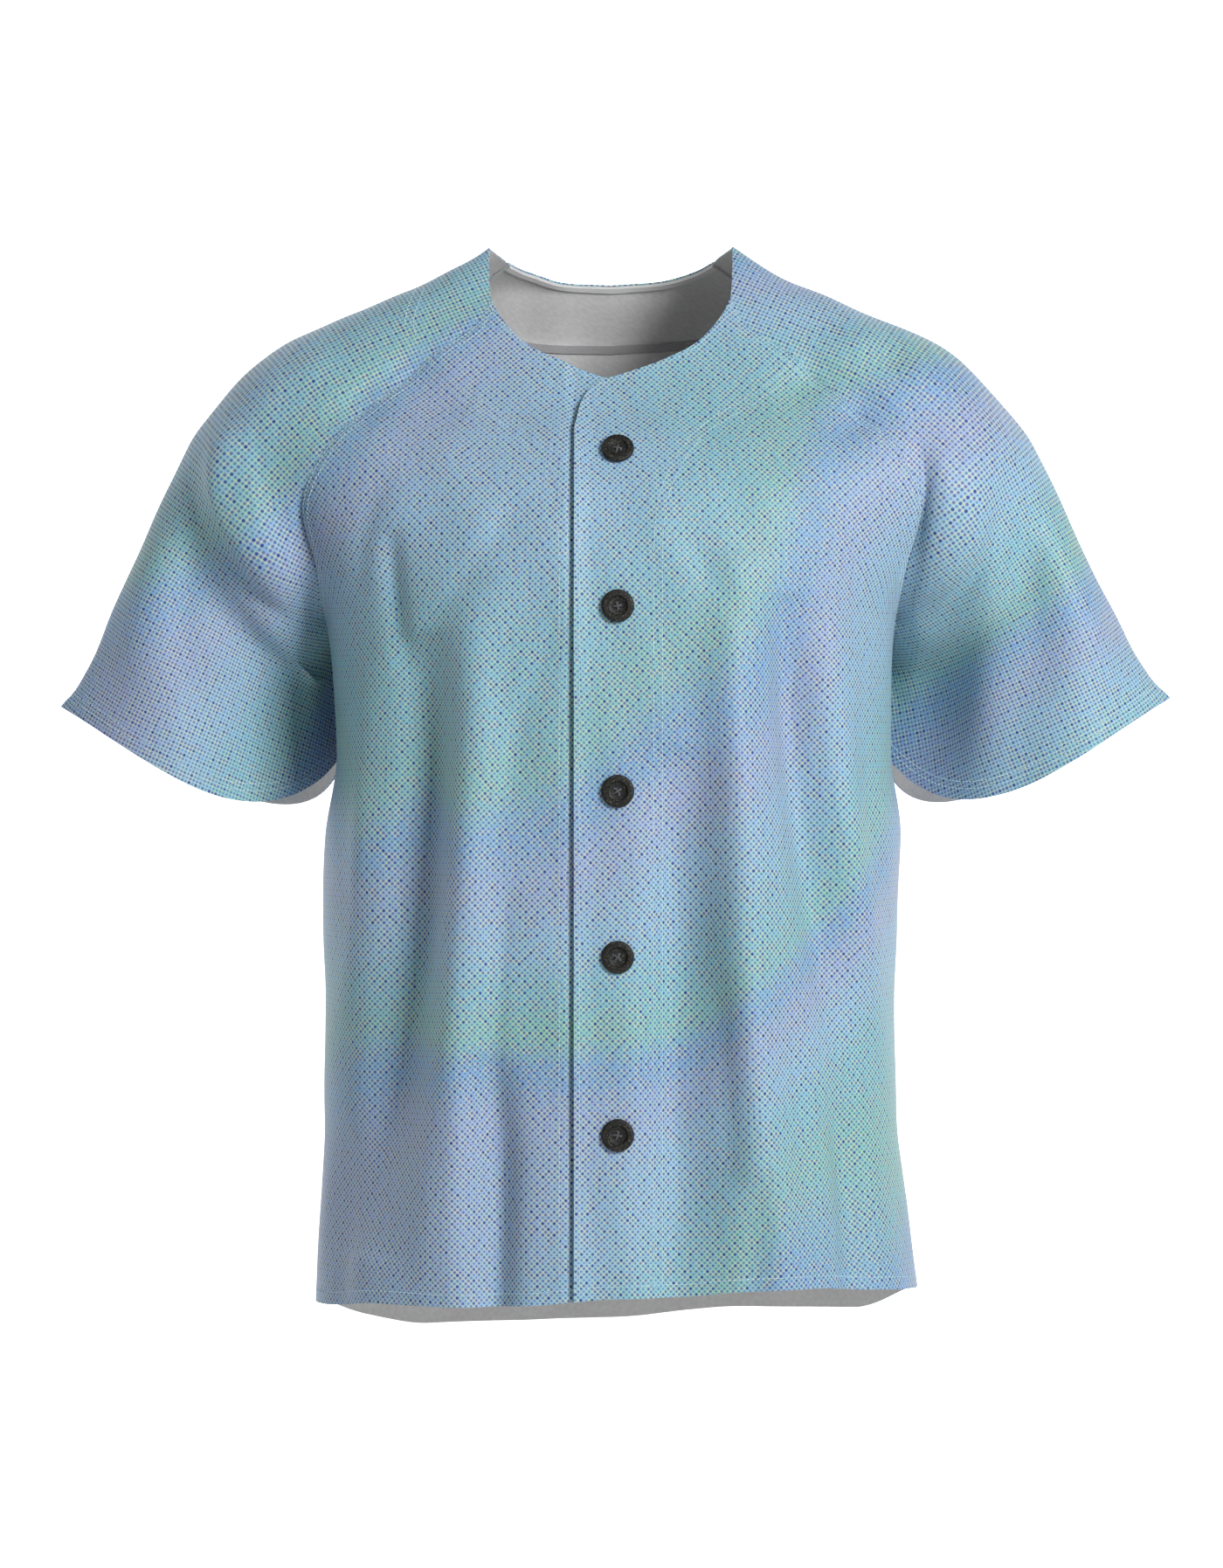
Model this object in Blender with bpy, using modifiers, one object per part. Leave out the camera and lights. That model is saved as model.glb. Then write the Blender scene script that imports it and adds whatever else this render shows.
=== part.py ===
"""Button-front baseball jersey, filled out as if worn, with its neck, hem and cuffs open.

Units are metres, +Z up. The garment faces -Y, so the wearer's left is at +X. The origin is on the shoulder
line, midway between the two high points of the neck, where a wearer's shoulders carry the cloth.
"""
import math

import bmesh
import bpy
import numpy as np
from mathutils import Matrix, Vector


def table(names, *rows):
    """A short table: one array of values for each named column."""
    return dict(zip(names.split(), np.array(rows, dtype=float).T))


# Driving dimensions
WALL = 0.0015                # cloth of the body and the sleeves
SEAM_GAP = 0.0005            # between two pieces at a seam
LAYER_GAP = 0.0004           # between two layers that lie on each other
LAP_GAP = 0.0008             # between the two fronts at the placket, whose curved facets differ
PLACKET_EDGE = 0.0248        # from the centre line to the free edge of each front
PLACKET_DIP = 0.007          # width over which the under front dips below the outer one
SECTION_POWER = 2.3          # a level section through the body: 2 is an ellipse, more is squarer
BUTTON_ACROSS = 0.0225
# Turned section of a button: share of its radius, and height over its back
BUTTON_PROFILE = ((0.0, 0.0020), (0.55, 0.0020), (0.72, 0.0032), (0.90, 0.0034), (1.0, 0.0024), (0.94, 0.0),
                  (0.0, 0.0))
BUTTON_X = 0.0048
BUTTON_HEIGHTS = (-0.1465, -0.2540, -0.3799, -0.4927, -0.6138)
FACING_ROWS = 3              # rows of the back's faces, counted from its neck, that its facing covers
FACING_WALL = 0.001
TAPE_WIDTH = 0.0060
TAPE_WALL = 0.001
TAPE_FROM_EDGE = 0.001       # from the facing's lower edge to the tape

# Numbers of faces: across the lap of the placket, its dip and the rest of a front, up the neck's corner,
# up the side seam and a raglan seam, across half a back, round half a sleeve and down its tube
COUNTS = {"lap": 4, "dip": 1, "across": 14, "neck": 3, "side": 16, "raglan": 10, "back": 15, "round": 10,
          "tube": 6}

# Level sections through the body: drop below the shoulder line, half widths, front and back depths
TORSO = table("drop  left  right  front  back",
              (0.0000, 0.0850, 0.0850, 0.0000, 0.0000),
              (0.0104, 0.1000, 0.0990, 0.0150, 0.0470),
              (0.0226, 0.1235, 0.1228, 0.0240, 0.0705),
              (0.0350, 0.1520, 0.1510, 0.0320, 0.0800),
              (0.0470, 0.1790, 0.1790, 0.0395, 0.0885),
              (0.0592, 0.2130, 0.2130, 0.0465, 0.0960),
              (0.0714, 0.2360, 0.2355, 0.0530, 0.1010),
              (0.0950, 0.2620, 0.2600, 0.0660, 0.1110),
              (0.1140, 0.2700, 0.2700, 0.0785, 0.1165),
              (0.1420, 0.2680, 0.2670, 0.1010, 0.1230),
              (0.1780, 0.2470, 0.2460, 0.1210, 0.1280),
              (0.2240, 0.2160, 0.2150, 0.1320, 0.1310),
              (0.2620, 0.1990, 0.1985, 0.1350, 0.1320),
              (0.3520, 0.1950, 0.1910, 0.1370, 0.1320),
              (0.4130, 0.2020, 0.1990, 0.1370, 0.1310),
              (0.4740, 0.2000, 0.2015, 0.1360, 0.1290),
              (0.5230, 0.1976, 0.1995, 0.1350, 0.1270),
              (0.6080, 0.1995, 0.1995, 0.1340, 0.1240),
              (0.6450, 0.2035, 0.2019, 0.1335, 0.1230),
              (0.6814, 0.2086, 0.2037, 0.1330, 0.1220),
              (0.7600, 0.2180, 0.2070, 0.1320, 0.1210))

# Height of the hem along the front and the back
FRONT_HEM = table("x  z",
                  (-0.207, -0.7350), (-0.167, -0.7310), (-0.100, -0.7320), (-0.054, -0.7300),
                  (0.000, -0.7255), (0.050, -0.7248), (0.086, -0.7214), (0.140, -0.7197),
                  (0.180, -0.7222), (0.217, -0.7250))
BACK_HEM = table("x  z",
                 (-0.207, -0.7350), (-0.174, -0.7504), (-0.132, -0.7585), (0.000, -0.7560),
                 (0.087, -0.7480), (0.174, -0.7460), (0.217, -0.7250))

# Neckline of one half, from the placket's edge and its rounded corner to the raglan seam
NECK_CORNER = -0.150
FRONT_NECK = table("x  z",
                   (-PLACKET_EDGE, -0.1330), (-0.0210, -0.1152), (-0.0144, -0.1027), (-0.0042, -0.0952),
                   (0.0036, -0.0934), (0.0277, -0.0853), (0.0550, -0.0726), (0.0702, -0.0588),
                   (0.0787, -0.0472), (0.0830, -0.0390))
BACK_NECK = table("x  z",
                  (0.0000, -0.0219), (0.0210, -0.0213), (0.0345, -0.0198), (0.0500, -0.0164),
                  (0.0615, -0.0133), (0.0730, -0.0083))

# Raglan seams on the wearer's left, from the armpit to the neck
FRONT_RAGLAN = table("x  z",
                     (0.1990, -0.2620), (0.2050, -0.2260), (0.2150, -0.1850), (0.1990, -0.1450),
                     (0.1725, -0.1175), (0.1575, -0.1055), (0.1195, -0.0740), (0.0920, -0.0545),
                     (0.0830, -0.0390))
BACK_RAGLAN = table("x  z",
                    (0.1990, -0.2620), (0.2080, -0.2250), (0.2060, -0.1800), (0.1880, -0.1300),
                    (0.1550, -0.0850), (0.1180, -0.0450), (0.0900, -0.0190), (0.0730, -0.0083))

# Top of the sleeve, from the neck over the shoulder to the cuff, and its underarm seam
SHOULDER_LINE = table("x  z",
                      (0.0850, 0.0000), (0.1003, -0.0104), (0.1234, -0.0226), (0.1525, -0.0348),
                      (0.1790, -0.0465), (0.2140, -0.0600), (0.2360, -0.0725), (0.2630, -0.0960),
                      (0.2930, -0.1320))
SLEEVE_TOP = table("x  z",
                   (0.2930, -0.1320), (0.3180, -0.1800), (0.3305, -0.2060), (0.3430, -0.2300),
                   (0.3570, -0.2540), (0.3690, -0.2790), (0.3850, -0.3030), (0.3905, -0.3150))
UNDERARM = table("x  z",
                 (0.1998, -0.2632), (0.1990, -0.2715), (0.1964, -0.2800), (0.1910, -0.3000), (0.1898, -0.3300),
                 (0.1895, -0.3500))
UNDERARM_BACK = 0.045        # how far the underarm seam lies behind the side of the body, from a third down
RIGHT_UNDERARM = -0.0035     # what the right sleeve's underarm seam differs by there, for a narrower waist
# What the right sleeve's cuff differs by, as a shift of its tip
RIGHT_TIP = (-0.0065, -0.0060)

# Handles of the curve round a sleeve, from its top line to its front and its back edge: station 0 is the
# neck, 1 the armpit, 2 the cuff; "top" columns reach from the top line, "end" columns from the edge
SLEEVE_FRONT = table("station  top_x  top_y  top_z  end_x  end_y  end_z  crease",
                     (0.00, 0.000, -0.010, -0.001, 0.002, 0.010, 0.014, 1.00),
                     (0.15, 0.000, -0.024, -0.001, 0.006, 0.010, 0.012, 0.50),
                     (0.40, -0.002, -0.042, -0.002, 0.000, 0.000, 0.000, 0.00),
                     (0.60, -0.004, -0.060, -0.004, 0.028, -0.032, -0.008, 0.10),
                     (0.80, -0.007, -0.082, -0.008, 0.044, -0.034, -0.014, 0.80),
                     (1.00, -0.010, -0.100, -0.012, 0.058, -0.030, -0.022, 1.00),
                     (1.50, -0.040, -0.112, -0.020, 0.062, -0.024, -0.062, 1.00),
                     (2.00, -0.074, -0.092, -0.042, 0.056, -0.044, -0.080, 1.00))
SLEEVE_BACK = table("station  top_x  top_y  top_z  end_x  end_y  end_z  crease",
                    (0.00, 0.000, 0.010, -0.001, 0.003, -0.012, 0.003, 1.00),
                    (0.15, 0.000, 0.026, -0.001, 0.008, -0.010, 0.004, 0.50),
                    (0.40, -0.002, 0.048, -0.002, 0.000, 0.000, 0.000, 0.00),
                    (0.60, -0.004, 0.064, -0.004, 0.020, 0.040, -0.010, 0.00),
                    (0.80, -0.007, 0.078, -0.008, 0.026, 0.060, -0.016, 0.60),
                    (1.00, -0.010, 0.088, -0.012, 0.030, 0.078, -0.022, 1.00),
                    (1.50, -0.045, 0.078, -0.024, 0.026, 0.082, -0.064, 1.00),
                    (2.00, -0.082, 0.062, -0.040, 0.024, 0.074, -0.086, 1.00))
SMOOTH_HANDLE = 0.36         # how far a section runs smoothly over its seam, as a share of its chord

# Folds seen from the front: three points of each path, its half width and its depth (a ridge is negative);
# lean makes the side to the right of the path, looking along it, steeper
FOLD_COLUMNS = "x0  z0  x1  z1  x2  z2  width  depth  lean"
BODY_FRONT_FOLDS = table(FOLD_COLUMNS,
                         (-0.129, -0.270, -0.137, -0.460, -0.174, -0.700, 0.019, 0.0190, 0.2),
                         (-0.094, -0.240, -0.100, -0.470, -0.122, -0.750, 0.019, -0.0160, 0.0),
                         (-0.166, -0.290, -0.170, -0.400, -0.180, -0.540, 0.012, -0.0050, 0.0),
                         (-0.151, -0.200, -0.148, -0.245, -0.142, -0.300, 0.007, 0.0060, 0.0),
                         (-0.080, -0.560, -0.079, -0.680, -0.083, -0.800, 0.014, 0.0150, 0.0),
                         (-0.184, -0.600, -0.188, -0.690, -0.192, -0.780, 0.011, 0.0060, 0.0),
                         (0.050, -0.350, 0.046, -0.560, 0.048, -0.810, 0.025, 0.0180, 0.25),
                         (0.086, -0.215, 0.088, -0.480, 0.116, -0.790, 0.022, -0.0180, 0.2),
                         (0.122, -0.245, 0.130, -0.380, 0.166, -0.590, 0.015, 0.0150, 0.0),
                         (0.150, -0.230, 0.160, -0.380, 0.186, -0.520, 0.013, -0.0070, 0.0),
                         (0.096, -0.640, 0.100, -0.700, 0.102, -0.800, 0.011, 0.0070, 0.0),
                         (0.156, -0.580, 0.166, -0.670, 0.170, -0.790, 0.012, 0.0100, 0.0))
SHOULDER_FRONT_FOLDS = table(FOLD_COLUMNS,
                             (0.190, -0.060, 0.165, -0.078, 0.115, -0.112, 0.012, 0.0050, 0.0),
                             (0.220, -0.088, 0.196, -0.104, 0.150, -0.140, 0.012, 0.0055, 0.0),
                             (-0.215, -0.080, -0.195, -0.100, -0.160, -0.126, 0.014, 0.0045, 0.0),
                             (-0.190, -0.066, -0.150, -0.088, -0.100, -0.120, 0.016, 0.0035, 0.0))
SLEEVE_FRONT_FOLDS = table(FOLD_COLUMNS,
                           (0.234, -0.140, 0.224, -0.215, 0.204, -0.360, 0.018, 0.0160, 0.0),
                           (0.264, -0.200, 0.264, -0.290, 0.258, -0.390, 0.016, 0.0080, 0.0),
                           (0.290, -0.150, 0.292, -0.230, 0.306, -0.340, 0.018, -0.0080, 0.0),
                           (0.316, -0.190, 0.332, -0.250, 0.352, -0.310, 0.014, 0.0080, 0.0),
                           (-0.262, -0.128, -0.268, -0.190, -0.214, -0.228, 0.011, 0.0130, 0.0),
                           (-0.244, -0.205, -0.220, -0.280, -0.204, -0.380, 0.024, 0.0180, 0.0),
                           (-0.292, -0.150, -0.292, -0.230, -0.304, -0.340, 0.018, -0.0080, 0.0),
                           (-0.318, -0.190, -0.328, -0.245, -0.345, -0.300, 0.015, 0.0080, 0.0))
BODY_BACK_FOLDS = table(FOLD_COLUMNS,
                        (-0.120, -0.300, -0.126, -0.470, -0.140, -0.790, 0.020, 0.0110, 0.2),
                        (-0.060, -0.330, -0.050, -0.520, -0.062, -0.790, 0.022, 0.0080, -0.2),
                        (0.020, -0.400, 0.026, -0.560, 0.014, -0.790, 0.024, 0.0090, 0.0),
                        (0.100, -0.290, 0.108, -0.480, 0.128, -0.790, 0.020, 0.0110, -0.2),
                        (0.060, -0.280, 0.064, -0.440, 0.074, -0.600, 0.016, -0.0050, 0.0),
                        (-0.090, -0.260, -0.086, -0.420, -0.096, -0.560, 0.018, -0.0050, 0.0))
SHOULDER_BACK_FOLDS = table(FOLD_COLUMNS,
                            (0.215, -0.100, 0.180, -0.140, 0.120, -0.190, 0.014, 0.0050, 0.0),
                            (-0.215, -0.095, -0.175, -0.130, -0.115, -0.165, 0.014, 0.0050, 0.0),
                            (0.200, -0.130, 0.180, -0.190, 0.150, -0.260, 0.014, 0.0040, 0.0))
SLEEVE_BACK_FOLDS = table(FOLD_COLUMNS,
                          (0.262, -0.150, 0.250, -0.200, 0.238, -0.280, 0.014, 0.0100, 0.0),
                          (0.310, -0.180, 0.330, -0.250, 0.350, -0.320, 0.016, 0.0060, 0.0),
                          (-0.258, -0.150, -0.252, -0.210, -0.238, -0.290, 0.014, 0.0100, 0.0),
                          (-0.318, -0.180, -0.328, -0.250, -0.344, -0.320, 0.016, 0.0060, 0.0))
FOLD_FADE = 0.20             # share of half a panel over which its own folds fade towards its seams
SIDE_FADE = 0.05             # depth in front of the side over which the folds across a seam fade
PATH_STEPS = 16              # straight steps that stand for a fold's curved path


def smooth(at, knots, values):
    """Values on a smooth curve through a table's rows, which never swings past a row."""
    steps = np.diff(values) / np.diff(knots)
    turning = steps[:-1] * steps[1:]
    total = steps[:-1] + steps[1:]
    inner = np.divide(2 * turning, total, out=np.zeros_like(total), where=turning > 0)
    slopes = np.concatenate((steps[:1], inner, steps[-1:]))
    row = np.clip(np.searchsorted(knots, at, side="right") - 1, 0, len(knots) - 2)
    span = knots[row + 1] - knots[row]
    share = np.clip((at - knots[row]) / span, 0, 1)
    rise = share * share * (3 - 2 * share)
    return (values[row] + rise * (values[row + 1] - values[row])
            + span * share * (1 - share) * ((1 - share) * slopes[row] - share * slopes[row + 1]))


def along(points, share):
    """Points at shares of the length of a smooth curve through a table of x and z."""
    lengths = np.concatenate(([0], np.cumsum(np.hypot(np.diff(points["x"]), np.diff(points["z"])))))
    at = share * lengths[-1]
    return np.stack((smooth(at, lengths, points["x"]), smooth(at, lengths, points["z"])), axis=-1)


def half_sizes(x_sign, z, face):
    """Half width and depth of the level section at each height; face is -1 in front and 1 behind."""
    root = np.sqrt(np.maximum(-z, 0))
    knots = np.sqrt(TORSO["drop"])
    wide = np.where(x_sign > 0, smooth(root, knots, TORSO["left"]), smooth(root, knots, TORSO["right"]))
    deep = smooth(root, knots, TORSO["front" if face < 0 else "back"])
    return wide, deep


def torso(turn, z, face):
    """Points of the body form. Turn runs from 0 at the wearer's left side to pi at the right one."""
    across = np.cos(turn)
    wide, deep = half_sizes(np.sign(across), z, face)
    x = wide * np.sign(across) * np.abs(across) ** (2 / SECTION_POWER)
    y = face * deep * np.abs(np.sin(turn)) ** (2 / SECTION_POWER)
    return np.stack((x, y, z), axis=-1)


def turn_at(x, z):
    """The turn whose point of the body form has this x at this height."""
    wide, deep = half_sizes(np.sign(x), z, -1)
    across = np.sign(x) * np.minimum(np.abs(x) / wide, 1) ** (SECTION_POWER / 2)
    return np.arccos(across)


def torso_normal(points, face):
    """Outward directions of the body form at its points, from the slopes of its sections."""
    x, y, z = points[..., 0], points[..., 1], points[..., 2]
    step = 0.002
    wide, deep = half_sizes(np.sign(x), z, face)
    wide_up, deep_up = half_sizes(np.sign(x), z + step, face)
    wide_down, deep_down = half_sizes(np.sign(x), z - step, face)
    deep = np.maximum(deep, 0.004)
    share_x = np.minimum(np.abs(x) / wide, 1)
    share_y = np.minimum(np.abs(y) / deep, 1)
    rise = (share_x ** SECTION_POWER * (wide_down - wide_up) / wide
            + share_y ** SECTION_POWER * (deep_down - deep_up) / deep) / (2 * step)
    normal = np.stack((np.sign(x) * share_x ** (SECTION_POWER - 1) / wide,
                       np.sign(y) * share_y ** (SECTION_POWER - 1) / deep, rise), axis=-1)
    return unit(normal)


def unit(vectors):
    """The same directions with a length of one."""
    return vectors / np.maximum(np.linalg.norm(vectors, axis=-1, keepdims=True), 1e-9)


def fold_depth(folds, x, z):
    """How far the folds of one table move the cloth inwards at points seen from the front."""
    depth = np.zeros_like(x)
    share = np.linspace(0, 1, PATH_STEPS + 1)
    for row in zip(*folds.values()):
        x0, z0, x1, z1, x2, z2, width, height, lean = row
        bend = 4 * share * (1 - share)
        path_x = x0 + (x2 - x0) * share + bend * (x1 - (x0 + x2) / 2)
        path_z = z0 + (z2 - z0) * share + bend * (z1 - (z0 + z2) / 2)
        nearest = np.full_like(x, np.inf)
        side = np.zeros_like(x)
        place = np.zeros_like(x)
        for step in range(PATH_STEPS):
            run_x = path_x[step + 1] - path_x[step]
            run_z = path_z[step + 1] - path_z[step]
            from_x = x - path_x[step]
            from_z = z - path_z[step]
            on = np.clip((from_x * run_x + from_z * run_z) / (run_x ** 2 + run_z ** 2), 0, 1)
            away = np.hypot(from_x - on * run_x, from_z - on * run_z)
            closer = away < nearest
            nearest = np.where(closer, away, nearest)
            side = np.where(closer, np.sign(from_x * run_z - from_z * run_x), side)
            place = np.where(closer, share[step] + on / PATH_STEPS, place)
        reach = width * (1 - lean * side)
        taper = np.sin(math.pi * np.clip(place, 0, 1)) ** 0.6
        depth += height * taper * np.exp(-(nearest / reach) ** 2)
    return depth


def patch(bottom, top, inner, outer):
    """Inside points of a four-sided patch from its edges; rows run from the bottom to the top."""
    u = np.linspace(0, 1, len(bottom))[None, :, None]
    v = np.linspace(0, 1, len(inner))[:, None, None]
    corners = ((1 - v) * ((1 - u) * bottom[0] + u * bottom[-1]) + v * ((1 - u) * top[0] + u * top[-1]))
    return (1 - v) * bottom[None] + v * top[None] + (1 - u) * inner[:, None] + u * outer[:, None] - corners


def in_turns(points):
    """Points given by x and height, as turn and height on the body form."""
    return np.stack((turn_at(points[..., 0], points[..., 1]), points[..., 1]), axis=-1)


def side_edge(hem_z, raglan, side_rows, raglan_rows):
    """Outer edge of a body panel on the wearer's left: up the side seam, then up the raglan seam."""
    armpit_z = raglan["z"][0]
    side_z = np.linspace(hem_z, armpit_z, side_rows + 1)[:-1]
    side = np.stack((np.zeros_like(side_z), side_z), axis=-1)
    seam = in_turns(along(raglan, np.linspace(0, 1, raglan_rows + 1)))
    seam[0, 0] = 0
    return np.concatenate((side, seam))


def mirrored(points):
    """The same turns and heights on the other side of the body."""
    return np.stack((math.pi - points[..., 0], points[..., 1]), axis=-1)


def hem_edge(hem, turns):
    """Hem points at these turns, with their heights from the hem's table."""
    z = np.full_like(turns, hem["z"].mean())
    for _ in range(3):
        z = smooth(torso(turns, z, -1)[:, 0], hem["x"], hem["z"])
    return np.stack((turns, z), axis=-1)


def placket_heights(x, hem, rows, neck_rows):
    """Heights up a placket from the hem to the neckline, on level rows up to the neck's rounded corner."""
    low = smooth(x, hem["x"], hem["z"])
    level = low + (NECK_CORNER - low) * np.linspace(0, 1, rows - neck_rows + 1)
    top = smooth(x, FRONT_NECK["x"], FRONT_NECK["z"])
    return np.concatenate((level, NECK_CORNER + (top - NECK_CORNER) * np.linspace(0, 1, neck_rows + 1)[1:]))


def front_grid(side, counts):
    """Points and outward directions of one front; side is 1 for the wearer's left, -1 for the right."""
    rows = counts["side"] + counts["raglan"]
    hem = FRONT_HEM
    if side < 0:
        hem = {"x": -FRONT_HEM["x"][::-1], "z": FRONT_HEM["z"][::-1]}
    lap_x = np.linspace(-PLACKET_EDGE, PLACKET_EDGE, counts["lap"] + 1)
    dip_x = PLACKET_EDGE + PLACKET_DIP * np.linspace(0, 1, counts["dip"] + 1)[1:]
    strip = []
    for x in np.concatenate((lap_x, dip_x)):
        heights = placket_heights(x, hem, rows, counts["neck"])
        strip.append(in_turns(np.stack((np.full(rows + 1, x), heights), axis=-1)))
    start_x = PLACKET_EDGE + PLACKET_DIP
    beyond = FRONT_NECK["x"] > start_x + 0.005
    neck = {"x": np.append(start_x, FRONT_NECK["x"][beyond]),
            "z": np.append(smooth(start_x, FRONT_NECK["x"], FRONT_NECK["z"]), FRONT_NECK["z"][beyond])}
    top = in_turns(along(neck, np.linspace(0, 1, counts["across"] + 1)))
    bottom = hem_edge(hem, np.linspace(strip[-1][0, 0], 0, counts["across"] + 1))
    outer = side_edge(bottom[-1, 1], FRONT_RAGLAN, counts["side"], counts["raglan"])
    wide = patch(bottom, top, strip[-1], outer)
    turns = np.concatenate((np.stack(strip[:-1], axis=1), wide), axis=1)
    if side < 0:
        turns = mirrored(turns)
    points = torso(turns[..., 0], turns[..., 1], -1)
    normals = torso_normal(points, -1)
    from_seam = np.concatenate((np.ones(len(strip) - 1), np.linspace(1, 0, counts["across"] + 1)))
    return fold(points, normals, from_seam, BODY_FRONT_FOLDS, SHOULDER_FRONT_FOLDS), normals


def back_grid(counts):
    """Points and outward directions of the back, from the wearer's left side to the right one."""
    columns = 2 * counts["back"]
    half = np.linspace(0, 1, counts["back"] + 1)
    neck = in_turns(along(BACK_NECK, half))
    top = np.concatenate((neck[::-1], mirrored(neck)[1:]))
    bottom = hem_edge(BACK_HEM, np.linspace(0, math.pi, columns + 1))
    left = side_edge(bottom[0, 1], BACK_RAGLAN, counts["side"], counts["raglan"])
    right = mirrored(side_edge(bottom[-1, 1], BACK_RAGLAN, counts["side"], counts["raglan"]))
    turns = patch(bottom, top, left, right)
    points = torso(turns[..., 0], turns[..., 1], 1)
    normals = torso_normal(points, 1)
    from_seam = 1 - np.abs(np.linspace(-1, 1, columns + 1))
    return fold(points, normals, from_seam, BODY_BACK_FOLDS, SHOULDER_BACK_FOLDS), normals


def eased(share):
    """A soft step from 0 to 1."""
    share = np.clip(share, 0, 1)
    return share * share * (3 - 2 * share)


def shoulder_depth(folds, points):
    """Depth of the folds that cross a raglan seam; they fade out towards the side of the body."""
    return fold_depth(folds, points[..., 0], points[..., 2]) * eased(np.abs(points[..., 1]) / SIDE_FADE)


def fold(points, normals, from_seam, body_folds, shoulder_folds):
    """Body points moved in and out by their folds; only the shoulder's folds reach the outer seams."""
    depth = fold_depth(body_folds, points[..., 0], points[..., 2]) * eased(from_seam / FOLD_FADE)
    depth += shoulder_depth(shoulder_folds, points)
    return points - depth[..., None] * normals


def seam_direction(raglan, share, face):
    """Points of a raglan seam, and directions over the sleeve, square to the seam and on the body form."""
    step = 0.004
    ends = []
    for at in (np.clip(share - step, 0, 1), share, np.clip(share + step, 0, 1)):
        turns = in_turns(along(raglan, at))
        ends.append(torso(turns[..., 0], turns[..., 1], face))
    points = ends[1]
    points[..., 1] = np.where(share <= 0, 0, points[..., 1])
    normal = torso_normal(points, face)
    return points, unit(np.cross(unit(ends[2] - ends[0]), normal) * -face), normal


def bezier(share, first, second, third, fourth):
    """Points at each share of the cubic curves with these four points."""
    rest = 1 - share
    return (rest ** 3 * first + 3 * rest ** 2 * share * second
            + 3 * rest * share ** 2 * third + share ** 3 * fourth)


def sleeve_half(stations, shares, sections, raglan, face, tip, under_shift):
    """One half of a sleeve on the wearer's left, from its top line (share 0) to its edge (share 1)."""
    over = np.clip(stations, 0, 1)
    down = np.clip(stations - 1, 0, 1)
    top = np.where((stations <= 1)[:, None], along(SHOULDER_LINE, over), along(SLEEVE_TOP, down))
    top = top + (down ** 2)[:, None] * np.array(tip)
    top = np.stack((top[:, 0], np.zeros_like(stations), top[:, 1]), axis=-1)
    seam, over_seam, seam_normal = seam_direction(raglan, 1 - over, face)
    under = along(UNDERARM, down)
    behind = eased(3 * down)
    under = np.stack((under[:, 0] + under_shift * behind, UNDERARM_BACK * behind, under[:, 1]), axis=-1)
    edge = np.where((stations < 1)[:, None], seam, under)
    value = {name: smooth(stations, sections["station"], column) for name, column in sections.items()}
    from_top = np.stack((value["top_x"], value["top_y"], value["top_z"]), axis=-1)
    crease_end = np.stack((value["end_x"], value["end_y"], value["end_z"]), axis=-1)
    reach = SMOOTH_HANDLE * np.linalg.norm(top - edge, axis=-1, keepdims=True)
    crease = value["crease"][:, None]
    from_edge = (1 - crease) * reach * over_seam + crease * crease_end
    points = bezier(shares[None, :, None], top[:, None], (top + from_top)[:, None],
                    (edge + from_edge)[:, None], edge[:, None])
    return points, seam_normal


def sleeve_grid(side, counts):
    """Points of one sleeve: rows from the neck to the cuff, columns from its front edge to its back one."""
    over = np.linspace(0, 1, counts["raglan"] + 1)
    stations = np.concatenate((over, np.linspace(1, 2, counts["tube"] + 1)[1:]))
    shares = np.linspace(0, 1, counts["round"] + 1)
    tip, under_shift = ((0, 0), 0) if side > 0 else (RIGHT_TIP, RIGHT_UNDERARM)
    halves = []
    for sections, raglan, face, shoulder_folds, sleeve_folds in (
            (SLEEVE_FRONT, FRONT_RAGLAN, -1, SHOULDER_FRONT_FOLDS, SLEEVE_FRONT_FOLDS),
            (SLEEVE_BACK, BACK_RAGLAN, 1, SHOULDER_BACK_FOLDS, SLEEVE_BACK_FOLDS)):
        points, seam_normal = sleeve_half(stations, shares, sections, raglan, face, tip, under_shift)
        normals = unit(np.cross(np.gradient(points, axis=0), np.gradient(points, axis=1)) * -face)
        near_seam = shares[None, :, None] ** 4 * (stations <= 1)[:, None, None]
        normals = unit(normals * (1 - near_seam) + seam_normal[:, None] * near_seam)
        fade = eased(shares / FOLD_FADE) * eased((1 - shares) / FOLD_FADE)
        seen = points * np.array((side, 1, 1))
        depth = fold_depth(sleeve_folds, seen[..., 0], seen[..., 2]) * fade[None, :]
        depth += shoulder_depth(shoulder_folds, seen)
        halves.append(points - depth[..., None] * normals)
    grid = np.concatenate((halves[0][:, ::-1], halves[1][:, 1:]), axis=1)
    return grid * np.array((side, 1, 1))


def inset(grid, left=False, right=False):
    """The grid with its left and right edges drawn in by half the gap of a seam."""
    grid = grid.copy()
    if left:
        grid[:, 0] += unit(grid[:, 1] - grid[:, 0]) * SEAM_GAP / 2
    if right:
        grid[:, -1] += unit(grid[:, -2] - grid[:, -1]) * SEAM_GAP / 2
    return grid


def new_material(name, colour, roughness):
    """A plain material with one colour."""
    material = bpy.data.materials.new(name)
    material.use_nodes = True
    surface = material.node_tree.nodes["Principled BSDF"]
    surface.inputs["Base Color"].default_value = (*colour, 1)
    surface.inputs["Roughness"].default_value = roughness
    surface.inputs["Metallic"].default_value = 0
    return material


def add_object(name, mesh, material):
    """Put a mesh into the jersey's collection as a named object."""
    mesh.materials.append(material)
    piece = bpy.data.objects.new(name, mesh)
    jersey.objects.link(piece)
    return piece


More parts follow.
